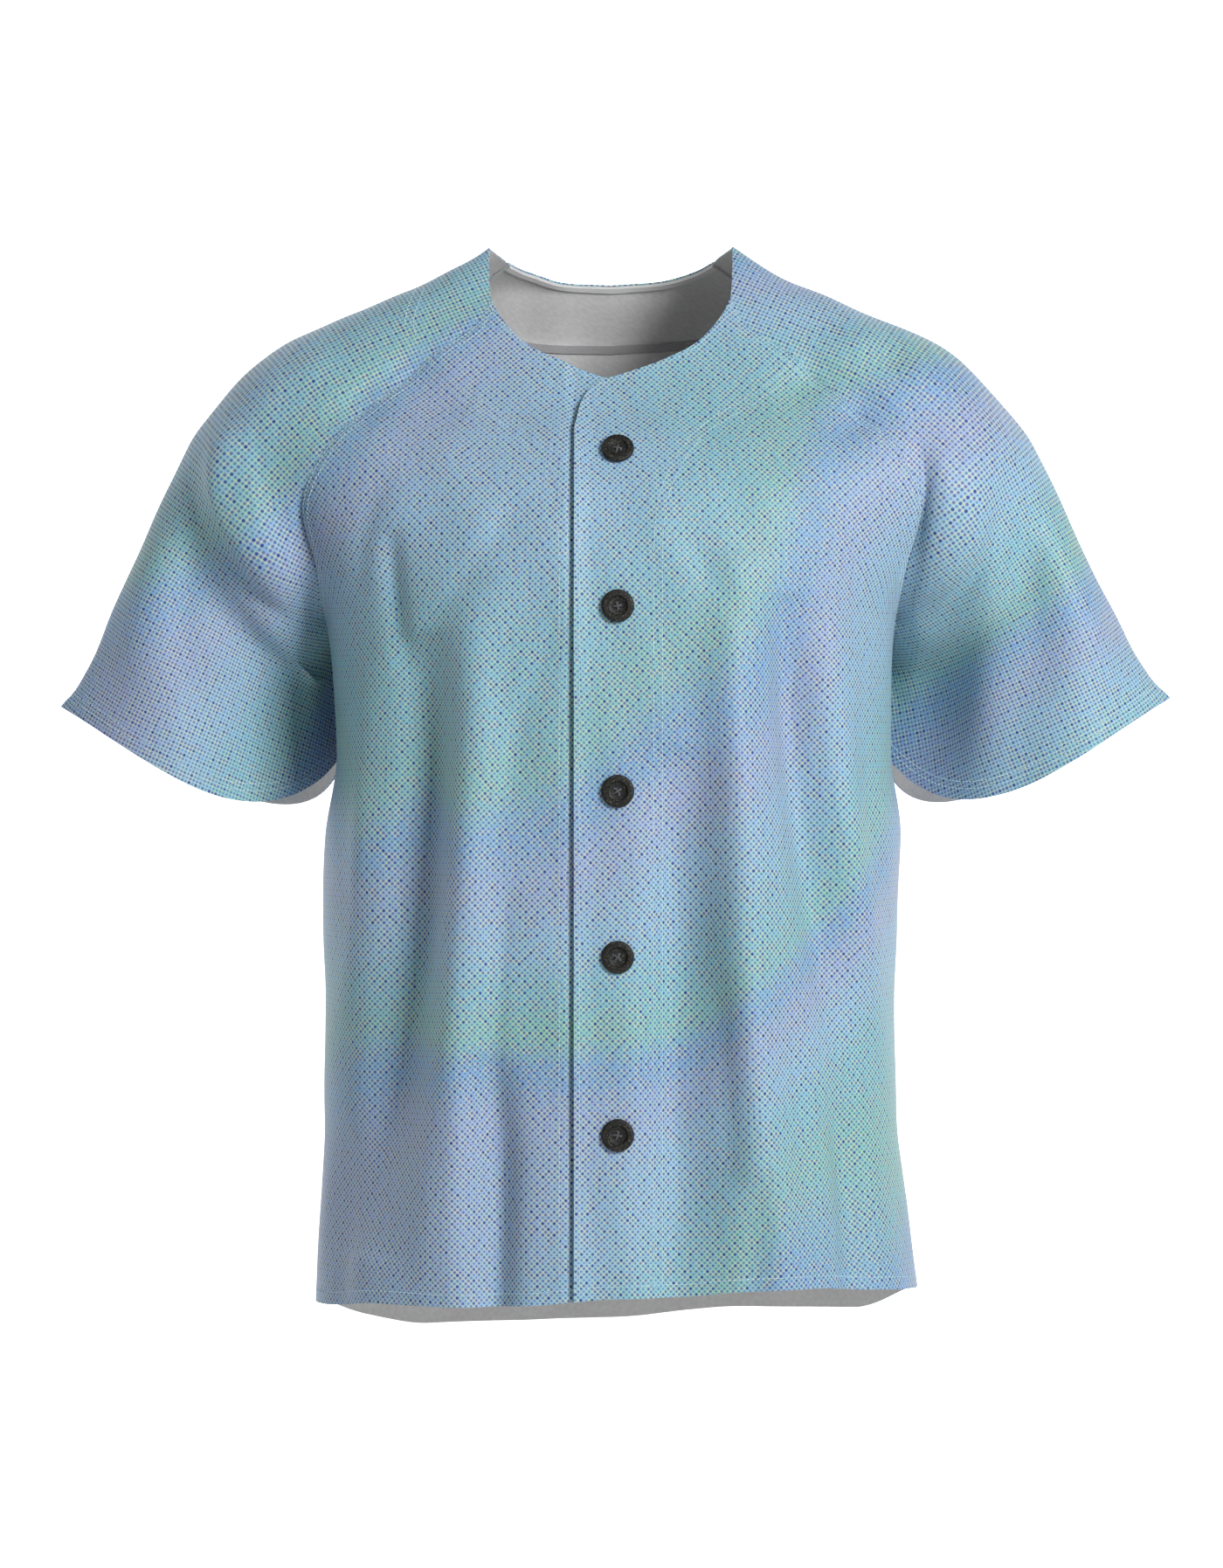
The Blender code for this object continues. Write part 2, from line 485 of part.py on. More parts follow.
def cloth(name, grid, wall, material, outside=1):
    """A panel of cloth: an open surface through a grid of points, made a wall on its inner side."""
    rows, columns = grid.shape[:2]
    shape = bmesh.new()
    corners = [[shape.verts.new(point) for point in row] for row in grid]
    for row in range(rows - 1):
        for column in range(columns - 1):
            ring = (corners[row][column], corners[row][column + 1],
                    corners[row + 1][column + 1], corners[row + 1][column])
            shape.faces.new(ring if outside > 0 else ring[::-1])
    bmesh.ops.remove_doubles(shape, verts=shape.verts, dist=0.00001)
    for face in shape.faces:
        face.smooth = True
    mesh = bpy.data.meshes.new(name)
    shape.to_mesh(mesh)
    shape.free()
    piece = add_object(name, mesh, material)
    solid = piece.modifiers.new("wall", "SOLIDIFY")
    solid.thickness = wall
    solid.offset = -1
    solid.use_even_offset = True
    return piece


def add_front(side):
    """One front; the wearer's right one dips under the outer one along the placket."""
    grid, normals = front_grid(side, COUNTS)
    if side < 0:
        past_edge = (grid[..., 0] + PLACKET_EDGE + PLACKET_DIP) / PLACKET_DIP
        grid -= ((WALL + LAP_GAP) * eased(past_edge))[..., None] * normals
    name = "front_left" if side > 0 else "front_right"
    material = new_material(name, (0.30, 0.45, 0.56), 0.75)
    return cloth(name, inset(grid, right=True), WALL, material, outside=side)


def add_back_and_facing():
    """The back, and the facing and tape that lie on its inside round the neck."""
    grid, normals = back_grid(COUNTS)
    cloth("back", inset(grid, left=True, right=True), WALL, new_material("back", (0.30, 0.45, 0.56), 0.75))
    below_neck = (WALL + LAYER_GAP) * normals
    facing = (grid - below_neck)[-FACING_ROWS - 1:]
    facing = inset(inset(facing, left=True, right=True), left=True, right=True)
    cloth("neck_facing", facing, FACING_WALL, new_material("neck_facing", (0.50, 0.50, 0.50), 0.85))
    inner = grid - (WALL + FACING_WALL + 2 * LAYER_GAP) * normals
    low = inner[-FACING_ROWS - 1, 1:-1]
    up = unit(inner[-FACING_ROWS, 1:-1] - low)
    tape = np.stack((low + TAPE_FROM_EDGE * up, low + (TAPE_FROM_EDGE + TAPE_WIDTH) * up))
    cloth("neck_tape", tape, TAPE_WALL, new_material("neck_tape", (0.45, 0.45, 0.46), 0.8))


def add_sleeve(side):
    """One raglan sleeve, open along the raglan seams and closed below the armpit."""
    grid = sleeve_grid(side, COUNTS)
    open_rows = COUNTS["raglan"]
    grid[:open_rows] = inset(grid[:open_rows], left=True, right=True)
    name = "sleeve_left" if side > 0 else "sleeve_right"
    cloth(name, grid, WALL, new_material(name, (0.30, 0.45, 0.56), 0.75), outside=-side)


def add_button(number, height):
    """A round button with a raised rim and a sunk middle, seated square on the outer front."""
    seat = torso(turn_at(np.array([BUTTON_X]), np.array([height])), np.array([height]), -1)
    outward = torso_normal(seat, -1)[0]
    seat = seat[0] - fold_depth(BODY_FRONT_FOLDS, seat[:, 0], seat[:, 2]) * outward
    radius = BUTTON_ACROSS / 2
    mesh = bpy.data.meshes.new("profile")
    mesh.from_pydata([(share * radius, 0, rise) for share, rise in BUTTON_PROFILE],
                     [(i, i + 1) for i in range(len(BUTTON_PROFILE) - 1)], [])
    name = "button_%d" % number
    piece = add_object(name, mesh, new_material(name, (0.012, 0.012, 0.011), 0.35))
    turned = piece.modifiers.new("turned", "SCREW")
    turned.axis = "Z"
    turned.steps = 20
    turned.render_steps = 20
    turned.use_merge_vertices = True
    turned.merge_threshold = 0.00001
    turned.use_normal_flip = False
    tilt = Vector((0, 0, 1)).rotation_difference(Vector(outward))
    place = Vector(seat) + Vector(outward) * LAYER_GAP
    piece.matrix_world = Matrix.Translation(place) @ tilt.to_matrix().to_4x4()


for leftover in list(bpy.data.objects):
    bpy.data.objects.remove(leftover)
jersey = bpy.data.collections.new("baseball_jersey")
bpy.context.scene.collection.children.link(jersey)

add_front(1)
add_front(-1)
add_back_and_facing()
add_sleeve(1)
add_sleeve(-1)
for number, height in enumerate(BUTTON_HEIGHTS, start=1):
    add_button(number, height)
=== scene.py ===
import math
import bmesh
import bpy
import numpy as np
from mathutils import Matrix, Vector
from mathutils.bvhtree import BVHTree


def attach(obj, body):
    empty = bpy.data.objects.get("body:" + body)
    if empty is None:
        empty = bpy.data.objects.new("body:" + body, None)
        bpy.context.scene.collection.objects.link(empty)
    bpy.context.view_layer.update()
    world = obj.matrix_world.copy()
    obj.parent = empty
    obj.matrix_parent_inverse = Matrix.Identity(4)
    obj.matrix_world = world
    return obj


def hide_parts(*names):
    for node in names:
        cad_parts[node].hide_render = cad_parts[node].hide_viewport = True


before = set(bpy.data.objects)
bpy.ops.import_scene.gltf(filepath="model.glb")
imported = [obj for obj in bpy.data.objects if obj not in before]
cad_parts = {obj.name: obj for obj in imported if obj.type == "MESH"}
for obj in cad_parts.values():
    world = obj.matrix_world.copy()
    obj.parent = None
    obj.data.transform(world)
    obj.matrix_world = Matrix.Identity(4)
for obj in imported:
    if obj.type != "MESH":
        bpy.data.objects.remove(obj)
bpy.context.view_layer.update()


# The two fronts, cut as mirror images from a smooth printed knit, with a plain inside.
# Each runs from the hem to the neck and ends at the side seam and at a raglan seam.
# The outer one laps over the under one at the buttons, and both hang in long soft folds from the chest.

def table(names, *rows):
    """A short table: one array of values for each named column."""
    return dict(zip(names.split(), np.array(rows, dtype=float).T))


WALL = 0.0015                # cloth of the body and the sleeves
LAP_GAP = 0.0008             # between the two fronts at the placket
PLACKET_EDGE = 0.0248        # from the centre line to the free edge of each front
PLACKET_DIP = 0.007          # width over which the under front dips below the outer one
SECTION_POWER = 2.3          # a level section through the body: 2 is an ellipse, more is squarer
# Numbers of faces: across the lap of the placket, its dip and the rest of a front, up the neck's corner,
# up the side seam and a raglan seam, across half a back, round half a sleeve and down its tube
COUNTS = {"lap": 12, "dip": 4, "across": 70, "neck": 21, "side": 112, "raglan": 70, "back": 75, "round": 50,
          "tube": 42}

# Level sections through the body: drop below the shoulder line, half widths, front and back depths
TORSO = table("drop  left  right  front  back",
              (0.0000, 0.0850, 0.0850, 0.0000, 0.0000),
              (0.0104, 0.1000, 0.0990, 0.0150, 0.0470),
              (0.0226, 0.1235, 0.1228, 0.0240, 0.0705),
              (0.0350, 0.1520, 0.1510, 0.0320, 0.0800),
              (0.0470, 0.1790, 0.1790, 0.0395, 0.0885),
              (0.0592, 0.2130, 0.2130, 0.0465, 0.0960),
              (0.0714, 0.2360, 0.2355, 0.0530, 0.1010),
              (0.0950, 0.2620, 0.2600, 0.0660, 0.1110),
              (0.1140, 0.2700, 0.2700, 0.0785, 0.1165),
              (0.1420, 0.2680, 0.2670, 0.1010, 0.1230),
              (0.1780, 0.2470, 0.2460, 0.1210, 0.1280),
              (0.2240, 0.2160, 0.2150, 0.1320, 0.1310),
              (0.2620, 0.1990, 0.1985, 0.1350, 0.1320),
              (0.3520, 0.1950, 0.1910, 0.1370, 0.1320),
              (0.4130, 0.2020, 0.1990, 0.1370, 0.1310),
              (0.4740, 0.2000, 0.2015, 0.1360, 0.1290),
              (0.5230, 0.1976, 0.1995, 0.1350, 0.1270),
              (0.6080, 0.1995, 0.1995, 0.1340, 0.1240),
              (0.6450, 0.2035, 0.2019, 0.1335, 0.1230),
              (0.6814, 0.2086, 0.2037, 0.1330, 0.1220),
              (0.7600, 0.2180, 0.2070, 0.1320, 0.1210))

# Height of the hem along the front and the back
FRONT_HEM = table("x  z",
                  (-0.207, -0.7350), (-0.167, -0.7310), (-0.100, -0.7320), (-0.054, -0.7300),
                  (0.000, -0.7255), (0.050, -0.7248), (0.086, -0.7214), (0.140, -0.7197),
                  (0.180, -0.7222), (0.217, -0.7250))
BACK_HEM = table("x  z",
                 (-0.207, -0.7350), (-0.174, -0.7504), (-0.132, -0.7585), (0.000, -0.7560),
                 (0.087, -0.7480), (0.174, -0.7460), (0.217, -0.7250))

# Neckline of one half, from the placket's edge and its rounded corner to the raglan seam
NECK_CORNER = -0.150
FRONT_NECK = table("x  z",
                   (-PLACKET_EDGE, -0.1330), (-0.0210, -0.1152), (-0.0144, -0.1027), (-0.0042, -0.0952),
                   (0.0036, -0.0934), (0.0277, -0.0853), (0.0550, -0.0726), (0.0702, -0.0588),
                   (0.0787, -0.0472), (0.0830, -0.0390))
BACK_NECK = table("x  z",
                  (0.0000, -0.0219), (0.0210, -0.0213), (0.0345, -0.0198), (0.0500, -0.0164),
                  (0.0615, -0.0133), (0.0730, -0.0083))
# Raglan seams on the wearer's left, from the armpit to the neck
FRONT_RAGLAN = table("x  z",
                     (0.1990, -0.2620), (0.2050, -0.2260), (0.2150, -0.1850), (0.1990, -0.1450),
                     (0.1725, -0.1175), (0.1575, -0.1055), (0.1195, -0.0740), (0.0920, -0.0545),
                     (0.0830, -0.0390))
BACK_RAGLAN = table("x  z",
                    (0.1990, -0.2620), (0.2080, -0.2250), (0.2060, -0.1800), (0.1880, -0.1300),
                    (0.1550, -0.0850), (0.1180, -0.0450), (0.0900, -0.0190), (0.0730, -0.0083))
# Folds seen from the front: three points of each path, its half width and its depth (a ridge is negative);
# lean makes the side to the right of the path, looking along it, steeper
FOLD_COLUMNS = "x0  z0  x1  z1  x2  z2  width  depth  lean"
BODY_FRONT_FOLDS = table(FOLD_COLUMNS,
                         (-0.129, -0.270, -0.137, -0.460, -0.174, -0.700, 0.019, 0.0190, 0.2),
                         (-0.094, -0.240, -0.100, -0.470, -0.122, -0.750, 0.019, -0.0160, 0.0),
                         (-0.166, -0.290, -0.170, -0.400, -0.180, -0.540, 0.012, -0.0050, 0.0),
                         (-0.151, -0.200, -0.148, -0.245, -0.142, -0.300, 0.007, 0.0060, 0.0),
                         (-0.080, -0.560, -0.079, -0.680, -0.083, -0.800, 0.014, 0.0150, 0.0),
                         (-0.184, -0.600, -0.188, -0.690, -0.192, -0.780, 0.011, 0.0060, 0.0),
                         (0.050, -0.350, 0.046, -0.560, 0.048, -0.810, 0.025, 0.0180, 0.25),
                         (0.086, -0.215, 0.088, -0.480, 0.116, -0.790, 0.022, -0.0180, 0.2),
                         (0.122, -0.245, 0.130, -0.380, 0.166, -0.590, 0.015, 0.0150, 0.0),
                         (0.150, -0.230, 0.160, -0.380, 0.186, -0.520, 0.013, -0.0070, 0.0),
                         (0.096, -0.640, 0.100, -0.700, 0.102, -0.800, 0.011, 0.0070, 0.0),
                         (0.156, -0.580, 0.166, -0.670, 0.170, -0.790, 0.012, 0.0100, 0.0))
SHOULDER_FRONT_FOLDS = table(FOLD_COLUMNS,
                             (0.190, -0.060, 0.165, -0.078, 0.115, -0.112, 0.012, 0.0050, 0.0),
                             (0.220, -0.088, 0.196, -0.104, 0.150, -0.140, 0.012, 0.0055, 0.0),
                             (-0.215, -0.080, -0.195, -0.100, -0.160, -0.126, 0.014, 0.0045, 0.0),
                             (-0.190, -0.066, -0.150, -0.088, -0.100, -0.120, 0.016, 0.0035, 0.0))
# Smaller creases, too fine for the frame's solids
BODY_FRONT_CREASES = table(FOLD_COLUMNS,
                           (-0.060, -0.175, -0.095, -0.230, -0.150, -0.300, 0.010, 0.0016, 0.3),
                           (-0.035, -0.260, -0.060, -0.330, -0.085, -0.430, 0.009, 0.0014, 0.2),
                           (-0.150, -0.160, -0.168, -0.200, -0.172, -0.250, 0.008, 0.0022, 0.0),
                           (-0.070, -0.440, -0.076, -0.520, -0.080, -0.610, 0.007, 0.0022, -0.3),
                           (-0.178, -0.330, -0.182, -0.400, -0.184, -0.480, 0.007, 0.0016, 0.0),
                           (-0.110, -0.560, -0.118, -0.640, -0.120, -0.760, 0.008, 0.0018, 0.0),
                           (0.035, -0.200, 0.075, -0.240, 0.110, -0.310, 0.010, 0.0015, 0.2),
                           (0.050, -0.120, 0.100, -0.150, 0.150, -0.210, 0.012, 0.0016, 0.0),
                           (0.070, -0.500, 0.078, -0.580, 0.082, -0.660, 0.006, 0.0020, 0.3),
                           (0.120, -0.520, 0.128, -0.600, 0.136, -0.700, 0.008, 0.0020, 0.0),
                           (0.172, -0.300, 0.178, -0.380, 0.176, -0.470, 0.007, 0.0016, 0.0),
                           (0.026, -0.560, 0.022, -0.640, 0.024, -0.740, 0.008, 0.0014, 0.0))

FOLD_FADE = 0.20             # share of half a panel over which its own folds fade towards its seams
SIDE_FADE = 0.05             # depth in front of the side over which the folds across a seam fade
PATH_STEPS = 16              # straight steps that stand for a fold's curved path

def smooth(at, knots, values):
    """Values on a smooth curve through a table's rows, which never swings past a row."""
    steps = np.diff(values) / np.diff(knots)
    turning = steps[:-1] * steps[1:]
    total = steps[:-1] + steps[1:]
    inner = np.divide(2 * turning, total, out=np.zeros_like(total), where=turning > 0)
    slopes = np.concatenate((steps[:1], inner, steps[-1:]))
    row = np.clip(np.searchsorted(knots, at, side="right") - 1, 0, len(knots) - 2)
    span = knots[row + 1] - knots[row]
    share = np.clip((at - knots[row]) / span, 0, 1)
    rise = share * share * (3 - 2 * share)
    return (values[row] + rise * (values[row + 1] - values[row])
            + span * share * (1 - share) * ((1 - share) * slopes[row] - share * slopes[row + 1]))


def along(points, share):
    """Points at shares of the length of a smooth curve through a table of x and z."""
    lengths = np.concatenate(([0], np.cumsum(np.hypot(np.diff(points["x"]), np.diff(points["z"])))))
    at = share * lengths[-1]
    return np.stack((smooth(at, lengths, points["x"]), smooth(at, lengths, points["z"])), axis=-1)


def half_sizes(x_sign, z, face):
    """Half width and depth of the level section at each height; face is -1 in front and 1 behind."""
    root = np.sqrt(np.maximum(-z, 0))
    knots = np.sqrt(TORSO["drop"])
    wide = np.where(x_sign > 0, smooth(root, knots, TORSO["left"]), smooth(root, knots, TORSO["right"]))
    deep = smooth(root, knots, TORSO["front" if face < 0 else "back"])
    return wide, deep


def torso(turn, z, face):
    """Points of the body form. Turn runs from 0 at the wearer's left side to pi at the right one."""
    across = np.cos(turn)
    wide, deep = half_sizes(np.sign(across), z, face)
    x = wide * np.sign(across) * np.abs(across) ** (2 / SECTION_POWER)
    y = face * deep * np.abs(np.sin(turn)) ** (2 / SECTION_POWER)
    return np.stack((x, y, z), axis=-1)


def turn_at(x, z):
    """The turn whose point of the body form has this x at this height."""
    wide, deep = half_sizes(np.sign(x), z, -1)
    across = np.sign(x) * np.minimum(np.abs(x) / wide, 1) ** (SECTION_POWER / 2)
    return np.arccos(across)


def torso_normal(points, face):
    """Outward directions of the body form at its points, from the slopes of its sections."""
    x, y, z = points[..., 0], points[..., 1], points[..., 2]
    step = 0.002
    wide, deep = half_sizes(np.sign(x), z, face)
    wide_up, deep_up = half_sizes(np.sign(x), z + step, face)
    wide_down, deep_down = half_sizes(np.sign(x), z - step, face)
    deep = np.maximum(deep, 0.004)
    share_x = np.minimum(np.abs(x) / wide, 1)
    share_y = np.minimum(np.abs(y) / deep, 1)
    rise = (share_x ** SECTION_POWER * (wide_down - wide_up) / wide
            + share_y ** SECTION_POWER * (deep_down - deep_up) / deep) / (2 * step)
    normal = np.stack((np.sign(x) * share_x ** (SECTION_POWER - 1) / wide,
                       np.sign(y) * share_y ** (SECTION_POWER - 1) / deep, rise), axis=-1)
    return unit(normal)


def unit(vectors):
    """The same directions with a length of one."""
    return vectors / np.maximum(np.linalg.norm(vectors, axis=-1, keepdims=True), 1e-9)

def fold_depth(folds, x, z):
    """How far the folds of one table move the cloth inwards at points seen from the front."""
    depth = np.zeros_like(x)
    share = np.linspace(0, 1, PATH_STEPS + 1)
    for row in zip(*folds.values()):
        x0, z0, x1, z1, x2, z2, width, height, lean = row
        bend = 4 * share * (1 - share)
        path_x = x0 + (x2 - x0) * share + bend * (x1 - (x0 + x2) / 2)
        path_z = z0 + (z2 - z0) * share + bend * (z1 - (z0 + z2) / 2)
        nearest = np.full_like(x, np.inf)
        side = np.zeros_like(x)
        place = np.zeros_like(x)
        for step in range(PATH_STEPS):
            run_x = path_x[step + 1] - path_x[step]
            run_z = path_z[step + 1] - path_z[step]
            from_x = x - path_x[step]
            from_z = z - path_z[step]
            on = np.clip((from_x * run_x + from_z * run_z) / (run_x ** 2 + run_z ** 2), 0, 1)
            away = np.hypot(from_x - on * run_x, from_z - on * run_z)
            closer = away < nearest
            nearest = np.where(closer, away, nearest)
            side = np.where(closer, np.sign(from_x * run_z - from_z * run_x), side)
            place = np.where(closer, share[step] + on / PATH_STEPS, place)
        reach = width * (1 - lean * side)
        taper = np.sin(math.pi * np.clip(place, 0, 1)) ** 0.6
        depth += height * taper * np.exp(-(nearest / reach) ** 2)
    return depth

def patch(bottom, top, inner, outer):
    """Inside points of a four-sided patch from its edges; rows run from the bottom to the top."""
    u = np.linspace(0, 1, len(bottom))[None, :, None]
    v = np.linspace(0, 1, len(inner))[:, None, None]
    corners = ((1 - v) * ((1 - u) * bottom[0] + u * bottom[-1]) + v * ((1 - u) * top[0] + u * top[-1]))
    return (1 - v) * bottom[None] + v * top[None] + (1 - u) * inner[:, None] + u * outer[:, None] - corners


def in_turns(points):
    """Points given by x and height, as turn and height on the body form."""
    return np.stack((turn_at(points[..., 0], points[..., 1]), points[..., 1]), axis=-1)


def side_edge(hem_z, raglan, side_rows, raglan_rows):
    """Outer edge of a body panel on the wearer's left: up the side seam, then up the raglan seam."""
    armpit_z = raglan["z"][0]
    side_z = np.linspace(hem_z, armpit_z, side_rows + 1)[:-1]
    side = np.stack((np.zeros_like(side_z), side_z), axis=-1)
    seam = in_turns(along(raglan, np.linspace(0, 1, raglan_rows + 1)))
    seam[0, 0] = 0
    return np.concatenate((side, seam))


def mirrored(points):
    """The same turns and heights on the other side of the body."""
    return np.stack((math.pi - points[..., 0], points[..., 1]), axis=-1)


def hem_edge(hem, turns):
    """Hem points at these turns, with their heights from the hem's table."""
    z = np.full_like(turns, hem["z"].mean())
    for _ in range(3):
        z = smooth(torso(turns, z, -1)[:, 0], hem["x"], hem["z"])
    return np.stack((turns, z), axis=-1)

def placket_heights(x, hem, rows, neck_rows):
    """Heights up a placket from the hem to the neckline, on level rows up to the neck's rounded corner."""
    low = smooth(x, hem["x"], hem["z"])
    level = low + (NECK_CORNER - low) * np.linspace(0, 1, rows - neck_rows + 1)
    top = smooth(x, FRONT_NECK["x"], FRONT_NECK["z"])
    return np.concatenate((level, NECK_CORNER + (top - NECK_CORNER) * np.linspace(0, 1, neck_rows + 1)[1:]))


def front_grid(side, counts):
    """Points and outward directions of one front; side is 1 for the wearer's left, -1 for the right."""
    rows = counts["side"] + counts["raglan"]
    hem = FRONT_HEM
    if side < 0:
        hem = {"x": -FRONT_HEM["x"][::-1], "z": FRONT_HEM["z"][::-1]}
    lap_x = np.linspace(-PLACKET_EDGE, PLACKET_EDGE, counts["lap"] + 1)
    dip_x = PLACKET_EDGE + PLACKET_DIP * np.linspace(0, 1, counts["dip"] + 1)[1:]
    strip = []
    for x in np.concatenate((lap_x, dip_x)):
        heights = placket_heights(x, hem, rows, counts["neck"])
        strip.append(in_turns(np.stack((np.full(rows + 1, x), heights), axis=-1)))
    start_x = PLACKET_EDGE + PLACKET_DIP
    beyond = FRONT_NECK["x"] > start_x + 0.005
    neck = {"x": np.append(start_x, FRONT_NECK["x"][beyond]),
            "z": np.append(smooth(start_x, FRONT_NECK["x"], FRONT_NECK["z"]), FRONT_NECK["z"][beyond])}
    top = in_turns(along(neck, np.linspace(0, 1, counts["across"] + 1)))
    bottom = hem_edge(hem, np.linspace(strip[-1][0, 0], 0, counts["across"] + 1))
    outer = side_edge(bottom[-1, 1], FRONT_RAGLAN, counts["side"], counts["raglan"])
    wide = patch(bottom, top, strip[-1], outer)
    turns = np.concatenate((np.stack(strip[:-1], axis=1), wide), axis=1)
    if side < 0:
        turns = mirrored(turns)
    points = torso(turns[..., 0], turns[..., 1], -1)
    normals = torso_normal(points, -1)
    from_seam = np.concatenate((np.ones(len(strip) - 1), np.linspace(1, 0, counts["across"] + 1)))
    return fold(points, normals, from_seam, BODY_FRONT_FOLDS, SHOULDER_FRONT_FOLDS), normals

def eased(share):
    """A soft step from 0 to 1."""
    share = np.clip(share, 0, 1)
    return share * share * (3 - 2 * share)


def shoulder_depth(folds, points):
    """Depth of the folds that cross a raglan seam; they fade out towards the side of the body."""
    return fold_depth(folds, points[..., 0], points[..., 2]) * eased(np.abs(points[..., 1]) / SIDE_FADE)


def fold(points, normals, from_seam, body_folds, shoulder_folds):
    """Body points moved in and out by their folds; only the shoulder's folds reach the outer seams."""
    depth = fold_depth(body_folds, points[..., 0], points[..., 2]) * eased(from_seam / FOLD_FADE)
    depth += shoulder_depth(shoulder_folds, points)
    return points - depth[..., None] * normals

def grid_normals(grid, outside):
    """Outward directions of a finished grid of points."""
    return unit(np.cross(np.gradient(grid, axis=1), np.gradient(grid, axis=0)) * outside)


def uneven(grid, outside, height=0.0006):
    """The grid with the slight waviness that hanging cloth has everywhere, fixed by its own place."""
    x, y, z = grid[..., 0], grid[..., 1], grid[..., 2]
    wave = (np.sin(61 * x + 17 * z + 9 * y) * np.sin(13 * z - 29 * x + 2.0)
            + 0.6 * np.sin(97 * x - 31 * z + 1.3) * np.sin(41 * z + 53 * y)
            + 0.5 * np.sin(151 * x + 43 * z + 67 * y + 0.7))
    return grid + (height * wave)[..., None] * grid_normals(grid, outside)


EDGE_STEPS = (0.2, 0.4, 0.7)     # extra columns beside a seam, as shares of the way to the next column
SEAM_SINK = 0.0011               # how far the cloth is drawn in at a seam
SEAM_REACH = 0.0032              # how far from a seam that reaches
SEAM_END = 6                     # rows below the neckline over which it runs out
ARMPIT_ROWS = 22                 # and rows from the armpit over which it comes back


def sewn_edge(grid, outside, fade, left=False, right=False):
    """The grid with its seam edges rolled in by a share for each row, as two layers are where they are sewn."""
    for side in ("left", "right"):
        if not (left if side == "left" else right):
            continue
        if side == "right":
            grid = grid[:, ::-1]
        steps = [grid[:, :1] + (grid[:, 1:2] - grid[:, :1]) * share for share in EDGE_STEPS]
        grid = np.concatenate([grid[:, :1], *steps, grid[:, 1:]], axis=1)
        if side == "right":
            grid = grid[:, ::-1]
    normals = grid_normals(grid, outside)
    sink = np.zeros(grid.shape[:2])
    for on, edge in ((left, 0), (right, -1)):
        if on:
            away = np.linalg.norm(grid - grid[:, edge][:, None], axis=-1)
            sink += SEAM_SINK * np.exp(-(away / SEAM_REACH) ** 2)
    return grid - (sink * fade[:, None])[..., None] * normals


def seam_fade(grid):
    """How far the seams of each row are drawn in: fully, but for the neckline and the armpit."""
    rows = np.arange(len(grid))
    return np.clip((len(grid) - 1 - rows) / SEAM_END, 0, 1) * eased(np.abs(rows - COUNTS["side"]) / ARMPIT_ROWS)


EDGE_LIFT = 0.0030               # how far the outer front's free edge stands off
EDGE_LIFT_REACH = 0.0070


def node(tree, kind, inputs=None, **settings):
    """Add a node, set its options and its inputs; an input may be a value or another node's output."""
    made = tree.nodes.new(kind)
    for name, value in settings.items():
        setattr(made, name, value)
    for name, value in (inputs or {}).items():
        if isinstance(value, bpy.types.NodeSocket):
            tree.links.new(value, made.inputs[name])
        else:
            made.inputs[name].default_value = value
    return made


def maths(tree, operation, first, second=0.0, third=0.0):
    """One sum on numbers or outputs."""
    return node(tree, "ShaderNodeMath", {0: first, 1: second, 2: third}, operation=operation).outputs[0]


def ramp(tree, share, stops, interpolation="EASE"):
    """A run of colours: stops are (place, colour)."""
    made = node(tree, "ShaderNodeValToRGB", {"Fac": share})
    made.color_ramp.interpolation = interpolation
    elements = made.color_ramp.elements
    while len(elements) < len(stops):
        elements.new(0.5)
    for element, (place, colour) in zip(elements, stops):
        element.position = place
        element.color = (*colour, 1)
    return made.outputs["Color"]


def mixed(tree, share, first, second, blend="MIX"):
    """Two colours blended."""
    made = node(tree, "ShaderNodeMix", data_type="RGBA", blend_type=blend)
    for index, value in ((0, share), (6, first), (7, second)):
        if isinstance(value, bpy.types.NodeSocket):
            tree.links.new(value, made.inputs[index])
        else:
            made.inputs[index].default_value = value if index == 0 else (*value, 1)
    return made.outputs[2]


def finish(name, roughness, sheen=0.0, specular=0.3, sheen_roughness=0.5):
    """A new material with its number sockets set; returns it, its tree and its surface node."""
    material = bpy.data.materials.new(name)
    material.use_nodes = True
    surface = material.node_tree.nodes["Principled BSDF"]
    surface.inputs["Roughness"].default_value = roughness
    surface.inputs["Specular IOR Level"].default_value = specular
    surface.inputs["Sheen Weight"].default_value = sheen
    surface.inputs["Sheen Roughness"].default_value = sheen_roughness
    return material, material.node_tree, surface


WASH_WIDTH = 0.185           # from one band of the wash to the next of its colour
DOT_PITCH = 0.00276          # of the print's dots along their diagonal rows
AQUA = (0.234, 0.501, 0.560)
PALE_BLUE = (0.302, 0.501, 0.672)
BLUE = (0.213, 0.380, 0.627)
LILAC = (0.348, 0.413, 0.638)
GREEN = (0.234, 0.506, 0.459)
MEAN_BLUE = (0.276, 0.479, 0.627)
DOT_BLUE = (0.030, 0.055, 0.270)
DOT_TEAL = (0.030, 0.130, 0.190)
DOT_VIOLET = (0.120, 0.075, 0.250)
PALE_SPOT = (0.560, 0.660, 0.380)


def knit_bump(tree, uv, strength, distance):
    """The loops of a fine knit as a bump, with a little unevenness."""
    loops = node(tree, "ShaderNodeTexVoronoi", {"Vector": uv, "Scale": 900.0, "Randomness": 0.35})
    slub = node(tree, "ShaderNodeTexNoise", {"Vector": uv, "Scale": 220.0, "Detail": 3.0})
    height = maths(tree, "ADD", loops.outputs["Distance"], maths(tree, "MULTIPLY", slub.outputs[0], 0.8))
    return node(tree, "ShaderNodeBump", {"Height": height, "Strength": strength, "Distance": distance})


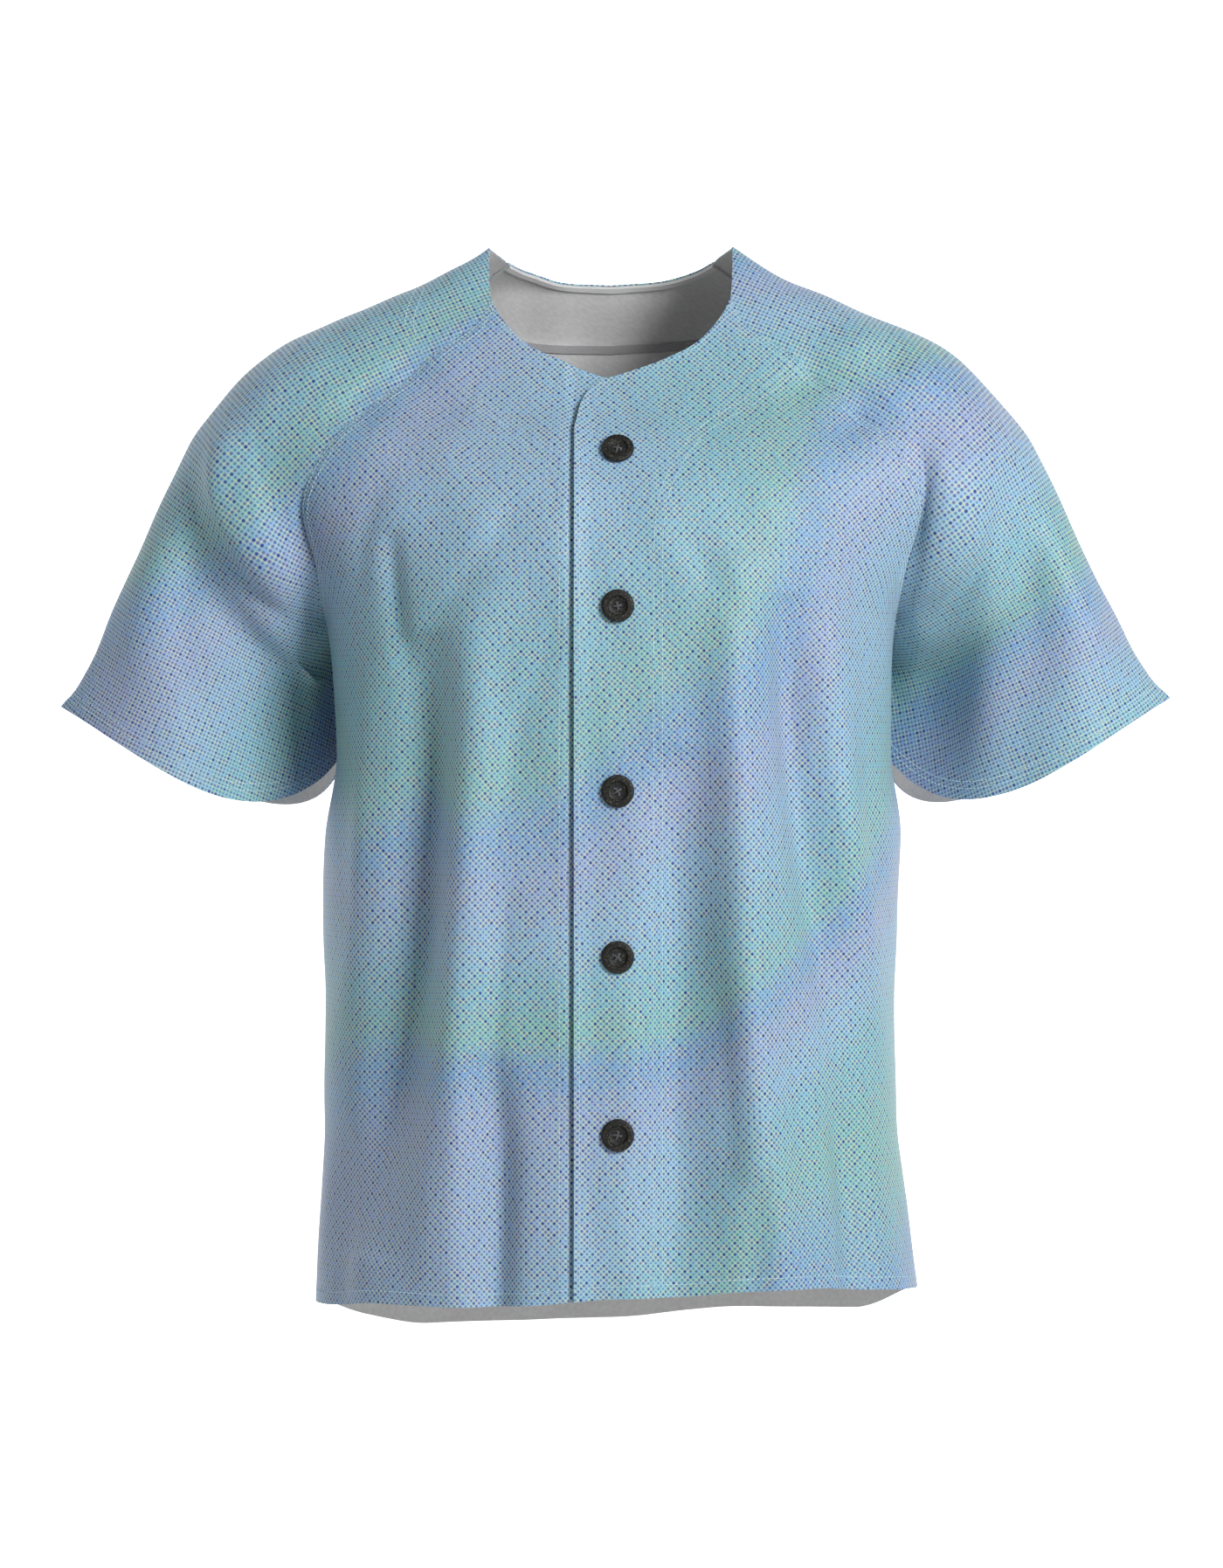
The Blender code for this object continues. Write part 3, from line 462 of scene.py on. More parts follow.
def printed_cloth():
    """Smooth knit with a soft wash of blue, aqua and lilac under small round dots."""
    material, tree, surface = finish("printed cloth", roughness=0.52, sheen=0.12, specular=0.28)
    place = node(tree, "ShaderNodeTexCoord").outputs["Object"]
    uv = node(tree, "ShaderNodeUVMap", uv_map="cloth").outputs["UV"]
    drift = node(tree, "ShaderNodeTexNoise", {"Vector": place, "Scale": 2.6, "Detail": 1.0}).outputs[0]
    split = node(tree, "ShaderNodeSeparateXYZ", {"Vector": place})
    across = maths(tree, "MULTIPLY", split.outputs["X"], 0.62 / WASH_WIDTH)
    slope = maths(tree, "MULTIPLY", split.outputs["Z"], -0.78 / WASH_WIDTH)
    bend = maths(tree, "MULTIPLY", drift, 2.6)
    phase = maths(tree, "FRACT", maths(tree, "ADD", maths(tree, "ADD", across, slope), bend))
    bands = ramp(tree, phase, ((0.00, PALE_BLUE), (0.22, AQUA), (0.40, GREEN), (0.58, BLUE), (0.76, LILAC),
                               (1.00, PALE_BLUE)))
    patches = node(tree, "ShaderNodeTexNoise", {"Vector": place, "Scale": 7.0, "Detail": 1.0}).outputs[0]
    wash = mixed(tree, maths(tree, "MULTIPLY_ADD", patches, 0.9, -0.15), bands, MEAN_BLUE)
    turned = node(tree, "ShaderNodeMapping", {"Vector": uv, "Rotation": (0, 0, math.radians(45)),
                                              "Scale": (1 / DOT_PITCH, 1 / DOT_PITCH, 1)}).outputs[0]
    cell = node(tree, "ShaderNodeVectorMath", {0: turned}, operation="FLOOR").outputs[0]
    inside = node(tree, "ShaderNodeVectorMath", {0: turned}, operation="FRACTION").outputs[0]
    centred = node(tree, "ShaderNodeVectorMath", {0: inside, 1: (0.5, 0.5, 0.5)}, operation="SUBTRACT").outputs[0]
    flat = node(tree, "ShaderNodeVectorMath", {0: centred, 1: (1, 1, 0)}, operation="MULTIPLY").outputs[0]
    away = node(tree, "ShaderNodeVectorMath", {0: flat}, operation="LENGTH").outputs["Value"]
    chance = node(tree, "ShaderNodeTexWhiteNoise", {"Vector": cell}, noise_dimensions="3D").outputs["Value"]
    steps = node(tree, "ShaderNodeSeparateXYZ", {"Vector": cell})
    along = maths(tree, "FLOORED_MODULO", steps.outputs["X"], 2.0)
    down = maths(tree, "FLOORED_MODULO", steps.outputs["Y"], 2.0)
    strong = maths(tree, "MULTIPLY", along, down)
    size = maths(tree, "ADD", maths(tree, "MULTIPLY_ADD", chance, 0.08, 0.27), maths(tree, "MULTIPLY", strong, 0.05))
    dot = maths(tree, "SUBTRACT", 1.0, node(tree, "ShaderNodeMapRange", {
        "Value": maths(tree, "SUBTRACT", away, size), "From Min": -0.10, "From Max": 0.10}).outputs[0])
    depth = maths(tree, "ADD", maths(tree, "MULTIPLY_ADD", chance, 0.30, 0.55), maths(tree, "MULTIPLY", strong, 0.15))
    strength = maths(tree, "MULTIPLY", dot, depth)
    kinds = mixed(tree, maths(tree, "GREATER_THAN", chance, 0.6), DOT_TEAL, DOT_VIOLET)
    dot_colour = mixed(tree, maths(tree, "MAXIMUM", strong, maths(tree, "LESS_THAN", chance, 0.35)), kinds, DOT_BLUE)
    corner = node(tree, "ShaderNodeVectorMath", {0: turned, 1: (0.5, 0.5, 0)}, operation="ADD").outputs[0]
    nook = node(tree, "ShaderNodeVectorMath", {0: corner}, operation="FLOOR").outputs[0]
    spark = node(tree, "ShaderNodeTexWhiteNoise", {"Vector": nook}, noise_dimensions="3D").outputs["Value"]
    pale = maths(tree, "MULTIPLY", maths(tree, "GREATER_THAN", away, 0.46), maths(tree, "MULTIPLY", spark, 0.70))
    ground = mixed(tree, pale, wash, PALE_SPOT)
    surface_colour = mixed(tree, strength, ground, dot_colour)
    tree.links.new(surface_colour, surface.inputs["Base Color"])
    tree.links.new(knit_bump(tree, uv, 0.25, 0.0004).outputs[0], surface.inputs["Normal"])
    return material


def plain_inside():
    """The unprinted back of the same knit, a pale neutral grey."""
    material, tree, surface = finish("plain inside", roughness=0.85, sheen=0.1, specular=0.2)
    uv = node(tree, "ShaderNodeUVMap", uv_map="cloth").outputs["UV"]
    mottle = node(tree, "ShaderNodeTexNoise", {"Vector": uv, "Scale": 300.0, "Detail": 4.0}).outputs[0]
    colour = ramp(tree, mottle, ((0.3, (0.68, 0.68, 0.685)), (0.7, (0.76, 0.76, 0.765))))
    tree.links.new(colour, surface.inputs["Base Color"])
    tree.links.new(knit_bump(tree, uv, 0.15, 0.0003).outputs[0], surface.inputs["Normal"])
    return material


PRINTED = printed_cloth()
INSIDE = plain_inside()


def arc_lengths(grid, axis):
    """Distances along the rows or the columns of a grid."""
    steps = np.linalg.norm(np.diff(grid, axis=axis), axis=-1)
    pad = [(0, 0), (0, 0)]
    pad[axis] = (1, 0)
    return np.pad(np.cumsum(steps, axis=axis), pad)


def cut_map(sheet):
    """Lay the panel out flat for its print, in metres, upright as seen from outside."""
    bpy.ops.object.select_all(action="DESELECT")
    bpy.context.view_layer.objects.active = sheet
    sheet.select_set(True)
    bpy.ops.object.mode_set(mode="EDIT")
    bpy.ops.mesh.select_all(action="SELECT")
    bpy.ops.uv.unwrap(method="ANGLE_BASED", margin=0)
    bpy.ops.object.mode_set(mode="OBJECT")
    mesh = sheet.data
    corner = np.empty(len(mesh.loops), dtype=np.int32)
    mesh.loops.foreach_get("vertex_index", corner)
    place = np.empty(3 * len(mesh.vertices), dtype=np.float32)
    mesh.vertices.foreach_get("co", place)
    place = place.reshape(-1, 3)[corner]
    layer = mesh.uv_layers["cloth"].data
    flat = np.empty(2 * len(corner), dtype=np.float32)
    layer.foreach_get("uv", flat)
    flat = flat.reshape(-1, 2)
    thirds = np.array([tuple(triangle.loops) for triangle in mesh.loop_triangles])
    runs = place[thirds]
    laid = flat[thirds]
    real = np.linalg.norm(np.cross(runs[:, 1] - runs[:, 0], runs[:, 2] - runs[:, 0]), axis=-1)
    first, second = laid[:, 1] - laid[:, 0], laid[:, 2] - laid[:, 0]
    drawn = np.abs(first[:, 0] * second[:, 1] - first[:, 1] * second[:, 0])
    behind = place[:, 1].mean() > 0.05
    shown = (place[:, 1] > 0) == behind
    seen = np.stack((place[:, 0] * (-1 if behind else 1), place[:, 2]), axis=-1)
    seen = (seen - seen[shown].mean(axis=0)) * shown[:, None]
    flat = (flat - flat[shown].mean(axis=0)) * math.sqrt(real.sum() / drawn.sum())
    turn = math.atan2((flat[:, 0] * seen[:, 1] - flat[:, 1] * seen[:, 0]).sum(), (flat * seen).sum())
    flat = flat @ np.array(((math.cos(turn), math.sin(turn)), (-math.sin(turn), math.cos(turn))))
    layer.foreach_set("uv", flat.astype(np.float32).ravel())


def cloth(name, grid, wall, materials, outside=1):
    """A panel of cloth from a grid of points, given its wall on the inner side and a cloth map in metres."""
    rows, columns = grid.shape[:2]
    index = np.arange(rows * columns).reshape(rows, columns)
    quads = np.stack((index[:-1, :-1], index[:-1, 1:], index[1:, 1:], index[1:, :-1]), axis=-1).reshape(-1, 4)
    mesh = bpy.data.meshes.new(name)
    mesh.from_pydata(grid.reshape(-1, 3).tolist(), [], quads[:, ::outside].tolist())
    flat = np.stack((arc_lengths(grid, 1), arc_lengths(grid, 0)), axis=-1).reshape(-1, 2)
    corner = np.empty(len(mesh.loops), dtype=np.int32)
    mesh.loops.foreach_get("vertex_index", corner)
    mesh.uv_layers.new(name="cloth").data.foreach_set("uv", flat[corner].astype(np.float32).ravel())
    sheet = bpy.data.objects.new(name, mesh)
    bpy.context.scene.collection.objects.link(sheet)
    if len(materials) > 1:
        cut_map(sheet)
    shape = bmesh.new()
    shape.from_mesh(mesh)
    bmesh.ops.remove_doubles(shape, verts=shape.verts, dist=0.00002)
    shape.to_mesh(mesh)
    shape.free()
    for material in materials:
        mesh.materials.append(material)
    solid = sheet.modifiers.new("wall", "SOLIDIFY")
    solid.thickness = wall
    solid.offset = -1
    solid.material_offset = len(materials) - 1
    return flattened(sheet, crisp=60)


def flattened(piece, crisp=None):
    """The piece with its modifiers worked into a plain mesh."""
    ready = piece.evaluated_get(bpy.context.evaluated_depsgraph_get())
    mesh = bpy.data.meshes.new_from_object(ready)
    old = piece.data
    piece.modifiers.clear()
    piece.data = mesh
    bpy.data.meshes.remove(old)
    mesh.name = piece.name
    mesh.shade_smooth()
    if crisp:
        mesh.set_sharp_from_angle(angle=math.radians(crisp))
    return piece


def declare(piece, nodes):
    """Hide the imported parts that a cloth piece stands for, and hang the piece on the root."""
    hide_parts(*nodes)
    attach(piece, "root")


fronts = {}
for side, name in ((1, "front_left"), (-1, "front_right")):
    grid, normals = front_grid(side, COUNTS)
    grid = grid - fold_depth(BODY_FRONT_CREASES, grid[..., 0], grid[..., 2])[..., None] * normals
    grid = uneven(grid, side)
    if side < 0:
        past_edge = (grid[..., 0] + PLACKET_EDGE + PLACKET_DIP) / PLACKET_DIP
        grid -= ((WALL + LAP_GAP) * eased(past_edge))[..., None] * normals
    else:
        grid += (EDGE_LIFT * np.exp(-((grid[..., 0] + PLACKET_EDGE) / EDGE_LIFT_REACH) ** 2))[..., None] * normals
    fronts[name] = sewn_edge(grid, side, seam_fade(grid), right=True)
    piece = cloth("cloth_" + name, fronts[name], WALL, (PRINTED, INSIDE), outside=side)
    declare(piece, [name])


# The back, one piece of the same knit from side seam to side seam, with a shallow scooped neck.
# It hangs a little longer than the fronts and falls in long soft folds from the shoulder blades.

BODY_BACK_FOLDS = table(FOLD_COLUMNS,
                        (-0.120, -0.300, -0.126, -0.470, -0.140, -0.790, 0.020, 0.0110, 0.2),
                        (-0.060, -0.330, -0.050, -0.520, -0.062, -0.790, 0.022, 0.0080, -0.2),
                        (0.020, -0.400, 0.026, -0.560, 0.014, -0.790, 0.024, 0.0090, 0.0),
                        (0.100, -0.290, 0.108, -0.480, 0.128, -0.790, 0.020, 0.0110, -0.2),
                        (0.060, -0.280, 0.064, -0.440, 0.074, -0.600, 0.016, -0.0050, 0.0),
                        (-0.090, -0.260, -0.086, -0.420, -0.096, -0.560, 0.018, -0.0050, 0.0))
SHOULDER_BACK_FOLDS = table(FOLD_COLUMNS,
                            (0.215, -0.100, 0.180, -0.140, 0.120, -0.190, 0.014, 0.0050, 0.0),
                            (-0.215, -0.095, -0.175, -0.130, -0.115, -0.165, 0.014, 0.0050, 0.0),
                            (0.200, -0.130, 0.180, -0.190, 0.150, -0.260, 0.014, 0.0040, 0.0))
BODY_BACK_CREASES = table(FOLD_COLUMNS,
                          (-0.150, -0.250, -0.155, -0.330, -0.150, -0.420, 0.009, 0.0020, 0.0),
                          (-0.020, -0.480, -0.022, -0.600, -0.016, -0.760, 0.009, 0.0018, 0.2),
                          (0.060, -0.620, 0.062, -0.690, 0.070, -0.780, 0.008, 0.0020, 0.0),
                          (0.150, -0.240, 0.158, -0.330, 0.152, -0.420, 0.009, 0.0020, 0.0),
                          (-0.100, -0.180, -0.050, -0.200, 0.010, -0.200, 0.012, 0.0014, 0.0),
                          (-0.165, -0.560, -0.172, -0.650, -0.176, -0.760, 0.009, 0.0018, 0.0),
                          (0.168, -0.560, 0.174, -0.650, 0.180, -0.760, 0.009, 0.0018, 0.0))


def back_grid(counts):
    """Points and outward directions of the back, from the wearer's left side to the right one."""
    columns = 2 * counts["back"]
    half = np.linspace(0, 1, counts["back"] + 1)
    neck = in_turns(along(BACK_NECK, half))
    top = np.concatenate((neck[::-1], mirrored(neck)[1:]))
    bottom = hem_edge(BACK_HEM, np.linspace(0, math.pi, columns + 1))
    left = side_edge(bottom[0, 1], BACK_RAGLAN, counts["side"], counts["raglan"])
    right = mirrored(side_edge(bottom[-1, 1], BACK_RAGLAN, counts["side"], counts["raglan"]))
    turns = patch(bottom, top, left, right)
    points = torso(turns[..., 0], turns[..., 1], 1)
    normals = torso_normal(points, 1)
    from_seam = 1 - np.abs(np.linspace(-1, 1, columns + 1))
    return fold(points, normals, from_seam, BODY_BACK_FOLDS, SHOULDER_BACK_FOLDS), normals

back, back_normals = back_grid(COUNTS)
back = back - fold_depth(BODY_BACK_CREASES, back[..., 0], back[..., 2])[..., None] * back_normals
back = uneven(back, 1)
piece = cloth("cloth_back", sewn_edge(back, 1, seam_fade(back), left=True, right=True), WALL, (PRINTED, INSIDE))
declare(piece, ["back"])


# The facing inside the back neck, a band of the plain side out, turned in at the neckline and
# stitched down, with a narrow herringbone tape sewn over its lower edge to cover it.

LAYER_GAP = 0.0004           # between two layers that lie on each other
FACING_WALL = 0.001
FACING_ROWS = 21
TAPE_WIDTH = 0.0060
TAPE_WALL = 0.0008
TAPE_ROW = 4                 # of the facing's rows, at the tape's lower edge
RIM_WIDTH = 0.0045           # of the pale turned edge at the neckline
RIM_WALL = 0.0006


def lies_inside(grid, depth):
    """A back grid's points moved in by a depth, short of the seams at its sides."""
    moved = grid - depth * grid_normals(grid, 1)
    return moved[:, 1:-1]


def tape_finish():
    """Twill tape woven in a herringbone: slanted ribs that turn back at the middle."""
    material, tree, surface = finish("herringbone tape", roughness=0.8, sheen=0.1, specular=0.2)
    uv = node(tree, "ShaderNodeUVMap", uv_map="cloth").outputs["UV"]
    split = node(tree, "ShaderNodeSeparateXYZ", {"Vector": uv})
    fold_back = maths(tree, "ABSOLUTE", maths(tree, "SUBTRACT", split.outputs["Y"], TAPE_WIDTH / 2))
    slant = maths(tree, "ADD", split.outputs["X"], fold_back)
    rib = maths(tree, "SINE", maths(tree, "MULTIPLY", slant, 2 * math.pi / 0.0013))
    colour = ramp(tree, maths(tree, "MULTIPLY_ADD", rib, 0.5, 0.5), ((0.2, (0.36, 0.36, 0.37)), (0.8, (0.62, 0.62, 0.63))))
    tree.links.new(colour, surface.inputs["Base Color"])
    tree.links.new(node(tree, "ShaderNodeBump", {"Height": rib, "Strength": 0.6, "Distance": 0.0003}).outputs[0],
                   surface.inputs["Normal"])
    return material


facing_grid = lies_inside(back, WALL + LAYER_GAP)[-FACING_ROWS - 1:]
facing = cloth("cloth_neck_facing", facing_grid, FACING_WALL, (INSIDE,))

tape_line = lies_inside(back, WALL + FACING_WALL + 2 * LAYER_GAP)
tape_low = tape_line[TAPE_ROW - FACING_ROWS]
tape_up = unit(tape_line[TAPE_ROW - FACING_ROWS + 2] - tape_low)
tape_grid = np.stack([tape_low + TAPE_WIDTH * share * tape_up for share in (0, 0.25, 0.5, 0.75, 1)])
tape = cloth("cloth_neck_tape", tape_grid, TAPE_WALL, (tape_finish(),))
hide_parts("neck_tape")
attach(tape, "root")

RIM, _, rim_surface = finish("turned neck edge", roughness=0.75, sheen=0.1, specular=0.2)
rim_surface.inputs["Base Color"].default_value = (0.86, 0.86, 0.865, 1)
rim_line = lies_inside(back, WALL + FACING_WALL + 2 * LAYER_GAP)
rim_up = unit(rim_line[-1] - rim_line[-3])
rim_grid = np.stack([rim_line[-1] - RIM_WIDTH * share * rim_up for share in (1, 0.75, 0.5, 0.25, 0)])
rim = cloth("cloth_neck_rim", rim_grid, RIM_WALL, (RIM,))
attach(rim, "root")
declare(facing, ["neck_facing"])


# The two raglan sleeves, one piece each of the same knit. A sleeve starts at the neck between front and
# back, closes in its own seam below the armpit, and ends in a hemmed cuff just above the elbow.

# Top of the sleeve, from the neck over the shoulder to the cuff, and its underarm seam
SHOULDER_LINE = table("x  z",
                      (0.0850, 0.0000), (0.1003, -0.0104), (0.1234, -0.0226), (0.1525, -0.0348),
                      (0.1790, -0.0465), (0.2140, -0.0600), (0.2360, -0.0725), (0.2630, -0.0960),
                      (0.2930, -0.1320))
SLEEVE_TOP = table("x  z",
                   (0.2930, -0.1320), (0.3180, -0.1800), (0.3305, -0.2060), (0.3430, -0.2300),
                   (0.3570, -0.2540), (0.3690, -0.2790), (0.3850, -0.3030), (0.3905, -0.3150))
UNDERARM = table("x  z",
                 (0.1998, -0.2632), (0.1990, -0.2715), (0.1964, -0.2800), (0.1910, -0.3000), (0.1898, -0.3300),
                 (0.1895, -0.3500))
UNDERARM_BACK = 0.045        # how far the underarm seam lies behind the side of the body, from a third down
RIGHT_UNDERARM = -0.0035     # what the right sleeve's underarm seam differs by there, for a narrower waist
# What the right sleeve's cuff differs by, as a shift of its tip
RIGHT_TIP = (-0.0065, -0.0060)

# Handles of the curve round a sleeve, from its top line to its front and its back edge: station 0 is the
# neck, 1 the armpit, 2 the cuff; "top" columns reach from the top line, "end" columns from the edge
SLEEVE_FRONT = table("station  top_x  top_y  top_z  end_x  end_y  end_z  crease",
                     (0.00, 0.000, -0.010, -0.001, 0.002, 0.010, 0.014, 1.00),
                     (0.15, 0.000, -0.024, -0.001, 0.006, 0.010, 0.012, 0.50),
                     (0.40, -0.002, -0.042, -0.002, 0.000, 0.000, 0.000, 0.00),
                     (0.60, -0.004, -0.060, -0.004, 0.028, -0.032, -0.008, 0.10),
                     (0.80, -0.007, -0.082, -0.008, 0.044, -0.034, -0.014, 0.80),
                     (1.00, -0.010, -0.100, -0.012, 0.058, -0.030, -0.022, 1.00),
                     (1.50, -0.040, -0.112, -0.020, 0.062, -0.024, -0.062, 1.00),
                     (2.00, -0.074, -0.092, -0.042, 0.056, -0.044, -0.080, 1.00))
SLEEVE_BACK = table("station  top_x  top_y  top_z  end_x  end_y  end_z  crease",
                    (0.00, 0.000, 0.010, -0.001, 0.003, -0.012, 0.003, 1.00),
                    (0.15, 0.000, 0.026, -0.001, 0.008, -0.010, 0.004, 0.50),
                    (0.40, -0.002, 0.048, -0.002, 0.000, 0.000, 0.000, 0.00),
                    (0.60, -0.004, 0.064, -0.004, 0.020, 0.040, -0.010, 0.00),
                    (0.80, -0.007, 0.078, -0.008, 0.026, 0.060, -0.016, 0.60),
                    (1.00, -0.010, 0.088, -0.012, 0.030, 0.078, -0.022, 1.00),
                    (1.50, -0.045, 0.078, -0.024, 0.026, 0.082, -0.064, 1.00),
                    (2.00, -0.082, 0.062, -0.040, 0.024, 0.074, -0.086, 1.00))
SMOOTH_HANDLE = 0.36         # how far a section runs smoothly over its seam, as a share of its chord
SLEEVE_FRONT_FOLDS = table(FOLD_COLUMNS,
                           (0.234, -0.140, 0.224, -0.215, 0.204, -0.360, 0.018, 0.0160, 0.0),
                           (0.264, -0.200, 0.264, -0.290, 0.258, -0.390, 0.016, 0.0080, 0.0),
                           (0.290, -0.150, 0.292, -0.230, 0.306, -0.340, 0.018, -0.0080, 0.0),
                           (0.316, -0.190, 0.332, -0.250, 0.352, -0.310, 0.014, 0.0080, 0.0),
                           (-0.262, -0.128, -0.268, -0.190, -0.214, -0.228, 0.011, 0.0130, 0.0),
                           (-0.244, -0.205, -0.220, -0.280, -0.204, -0.380, 0.024, 0.0180, 0.0),
                           (-0.292, -0.150, -0.292, -0.230, -0.304, -0.340, 0.018, -0.0080, 0.0),
                           (-0.318, -0.190, -0.328, -0.245, -0.345, -0.300, 0.015, 0.0080, 0.0))
SLEEVE_BACK_FOLDS = table(FOLD_COLUMNS,
                          (0.262, -0.150, 0.250, -0.200, 0.238, -0.280, 0.014, 0.0100, 0.0),
                          (0.310, -0.180, 0.330, -0.250, 0.350, -0.320, 0.016, 0.0060, 0.0),
                          (-0.258, -0.150, -0.252, -0.210, -0.238, -0.290, 0.014, 0.0100, 0.0),
                          (-0.318, -0.180, -0.328, -0.250, -0.344, -0.320, 0.016, 0.0060, 0.0))
SLEEVE_CREASES = table(FOLD_COLUMNS,
                       (0.230, -0.105, 0.228, -0.130, 0.222, -0.150, 0.006, 0.0020, 0.0),
                       (0.246, -0.130, 0.243, -0.155, 0.236, -0.180, 0.007, 0.0022, 0.0),
                       (0.222, -0.190, 0.220, -0.260, 0.206, -0.370, 0.020, 0.0090, 0.0),
                       (0.275, -0.290, 0.285, -0.330, 0.290, -0.390, 0.009, 0.0018, 0.0),
                       (0.340, -0.290, 0.350, -0.310, 0.356, -0.340, 0.008, 0.0015, 0.0))


def seam_direction(raglan, share, face):
    """Points of a raglan seam, and directions over the sleeve, square to the seam and on the body form."""
    step = 0.004
    ends = []
    for at in (np.clip(share - step, 0, 1), share, np.clip(share + step, 0, 1)):
        turns = in_turns(along(raglan, at))
        ends.append(torso(turns[..., 0], turns[..., 1], face))
    points = ends[1]
    points[..., 1] = np.where(share <= 0, 0, points[..., 1])
    normal = torso_normal(points, face)
    return points, unit(np.cross(unit(ends[2] - ends[0]), normal) * -face), normal


def bezier(share, first, second, third, fourth):
    """Points at each share of the cubic curves with these four points."""
    rest = 1 - share
    return (rest ** 3 * first + 3 * rest ** 2 * share * second
            + 3 * rest * share ** 2 * third + share ** 3 * fourth)


def sleeve_half(stations, shares, sections, raglan, face, tip, under_shift):
    """One half of a sleeve on the wearer's left, from its top line (share 0) to its edge (share 1)."""
    over = np.clip(stations, 0, 1)
    down = np.clip(stations - 1, 0, 1)
    top = np.where((stations <= 1)[:, None], along(SHOULDER_LINE, over), along(SLEEVE_TOP, down))
    top = top + (down ** 2)[:, None] * np.array(tip)
    top = np.stack((top[:, 0], np.zeros_like(stations), top[:, 1]), axis=-1)
    seam, over_seam, seam_normal = seam_direction(raglan, 1 - over, face)
    under = along(UNDERARM, down)
    behind = eased(3 * down)
    under = np.stack((under[:, 0] + under_shift * behind, UNDERARM_BACK * behind, under[:, 1]), axis=-1)
    edge = np.where((stations < 1)[:, None], seam, under)
    value = {name: smooth(stations, sections["station"], column) for name, column in sections.items()}
    from_top = np.stack((value["top_x"], value["top_y"], value["top_z"]), axis=-1)
    crease_end = np.stack((value["end_x"], value["end_y"], value["end_z"]), axis=-1)
    reach = SMOOTH_HANDLE * np.linalg.norm(top - edge, axis=-1, keepdims=True)
    crease = value["crease"][:, None]
    from_edge = (1 - crease) * reach * over_seam + crease * crease_end
    points = bezier(shares[None, :, None], top[:, None], (top + from_top)[:, None],
                    (edge + from_edge)[:, None], edge[:, None])
    return points, seam_normal


def sleeve_grid(side, counts):
    """Points of one sleeve: rows from the neck to the cuff, columns from its front edge to its back one."""
    over = np.linspace(0, 1, counts["raglan"] + 1)
    stations = np.concatenate((over, np.linspace(1, 2, counts["tube"] + 1)[1:]))
    shares = np.linspace(0, 1, counts["round"] + 1)
    tip, under_shift = ((0, 0), 0) if side > 0 else (RIGHT_TIP, RIGHT_UNDERARM)
    halves = []
    for sections, raglan, face, shoulder_folds, sleeve_folds in (
            (SLEEVE_FRONT, FRONT_RAGLAN, -1, SHOULDER_FRONT_FOLDS, SLEEVE_FRONT_FOLDS),
            (SLEEVE_BACK, BACK_RAGLAN, 1, SHOULDER_BACK_FOLDS, SLEEVE_BACK_FOLDS)):
        points, seam_normal = sleeve_half(stations, shares, sections, raglan, face, tip, under_shift)
        normals = unit(np.cross(np.gradient(points, axis=0), np.gradient(points, axis=1)) * -face)
        near_seam = shares[None, :, None] ** 4 * (stations <= 1)[:, None, None]
        normals = unit(normals * (1 - near_seam) + seam_normal[:, None] * near_seam)
        fade = eased(shares / FOLD_FADE) * eased((1 - shares) / FOLD_FADE)
        seen = points * np.array((side, 1, 1))
        depth = fold_depth(sleeve_folds, seen[..., 0], seen[..., 2]) * fade[None, :]
        depth += shoulder_depth(shoulder_folds, seen)
        halves.append(points - depth[..., None] * normals)
    grid = np.concatenate((halves[0][:, ::-1], halves[1][:, 1:]), axis=1)
    return grid * np.array((side, 1, 1))

TUCK = (0.0080, 0.0026)      # along and in, of the seam allowance that goes under the body's edge
TUCK_ROWS = 8                # rows past the armpit over which it runs out


def tucked(grid, outside, open_rows):
    """The sleeve with its raglan edges turned under those of the body, furthest towards the armpit."""
    normals = grid_normals(grid, outside)
    rows = np.arange(len(grid))
    fade = (eased((open_rows + TUCK_ROWS - rows) / TUCK_ROWS) * eased(rows / SEAM_END))[:, None]
    reach = TUCK[0] * np.clip(rows / open_rows, 0.2, 1)[:, None]
    flaps = []
    for edge, beside in ((0, 1), (-1, -2)):
        onward = unit(grid[:, edge] - grid[:, beside])
        flaps.append(grid[:, edge] + fade * (reach * onward - TUCK[1] * normals[:, edge]))
    return np.concatenate((flaps[0][:, None], grid, flaps[1][:, None]), axis=1)


LEAST_ROOM = 0.010           # between the front and the back of a sleeve in its deepest folds
ARMPIT_DRAW = 0.0045         # how far the sleeve is pressed to the body just below the armpit
RELAXED_COLUMNS = 26         # beside each raglan seam
RELAXED_ROUNDS = 30


def relaxed(grid, open_rows):
    """The sleeve with its tight bends let out, most of all beside its raglan seams."""
    columns = np.arange(grid.shape[1])
    away = np.minimum(columns, columns[::-1])
    rows = np.arange(len(grid))[:, None]
    beside = eased((RELAXED_COLUMNS - away) / 10) * eased((open_rows - rows) / 10)
    share = np.clip(away / 4, 0, 1) * np.maximum(beside, 0.28) * eased(rows / SEAM_END) * eased((len(grid) - 1 - rows) / 4)
    share = share[1:-1, 1:-1, None]
    for _ in range(RELAXED_ROUNDS):
        middle = (grid[1:-1, :-2] + grid[1:-1, 2:] + grid[:-2, 1:-1] + grid[2:, 1:-1]) / 4
        grid[1:-1, 1:-1] += 0.6 * share * (middle - grid[1:-1, 1:-1])
    return grid


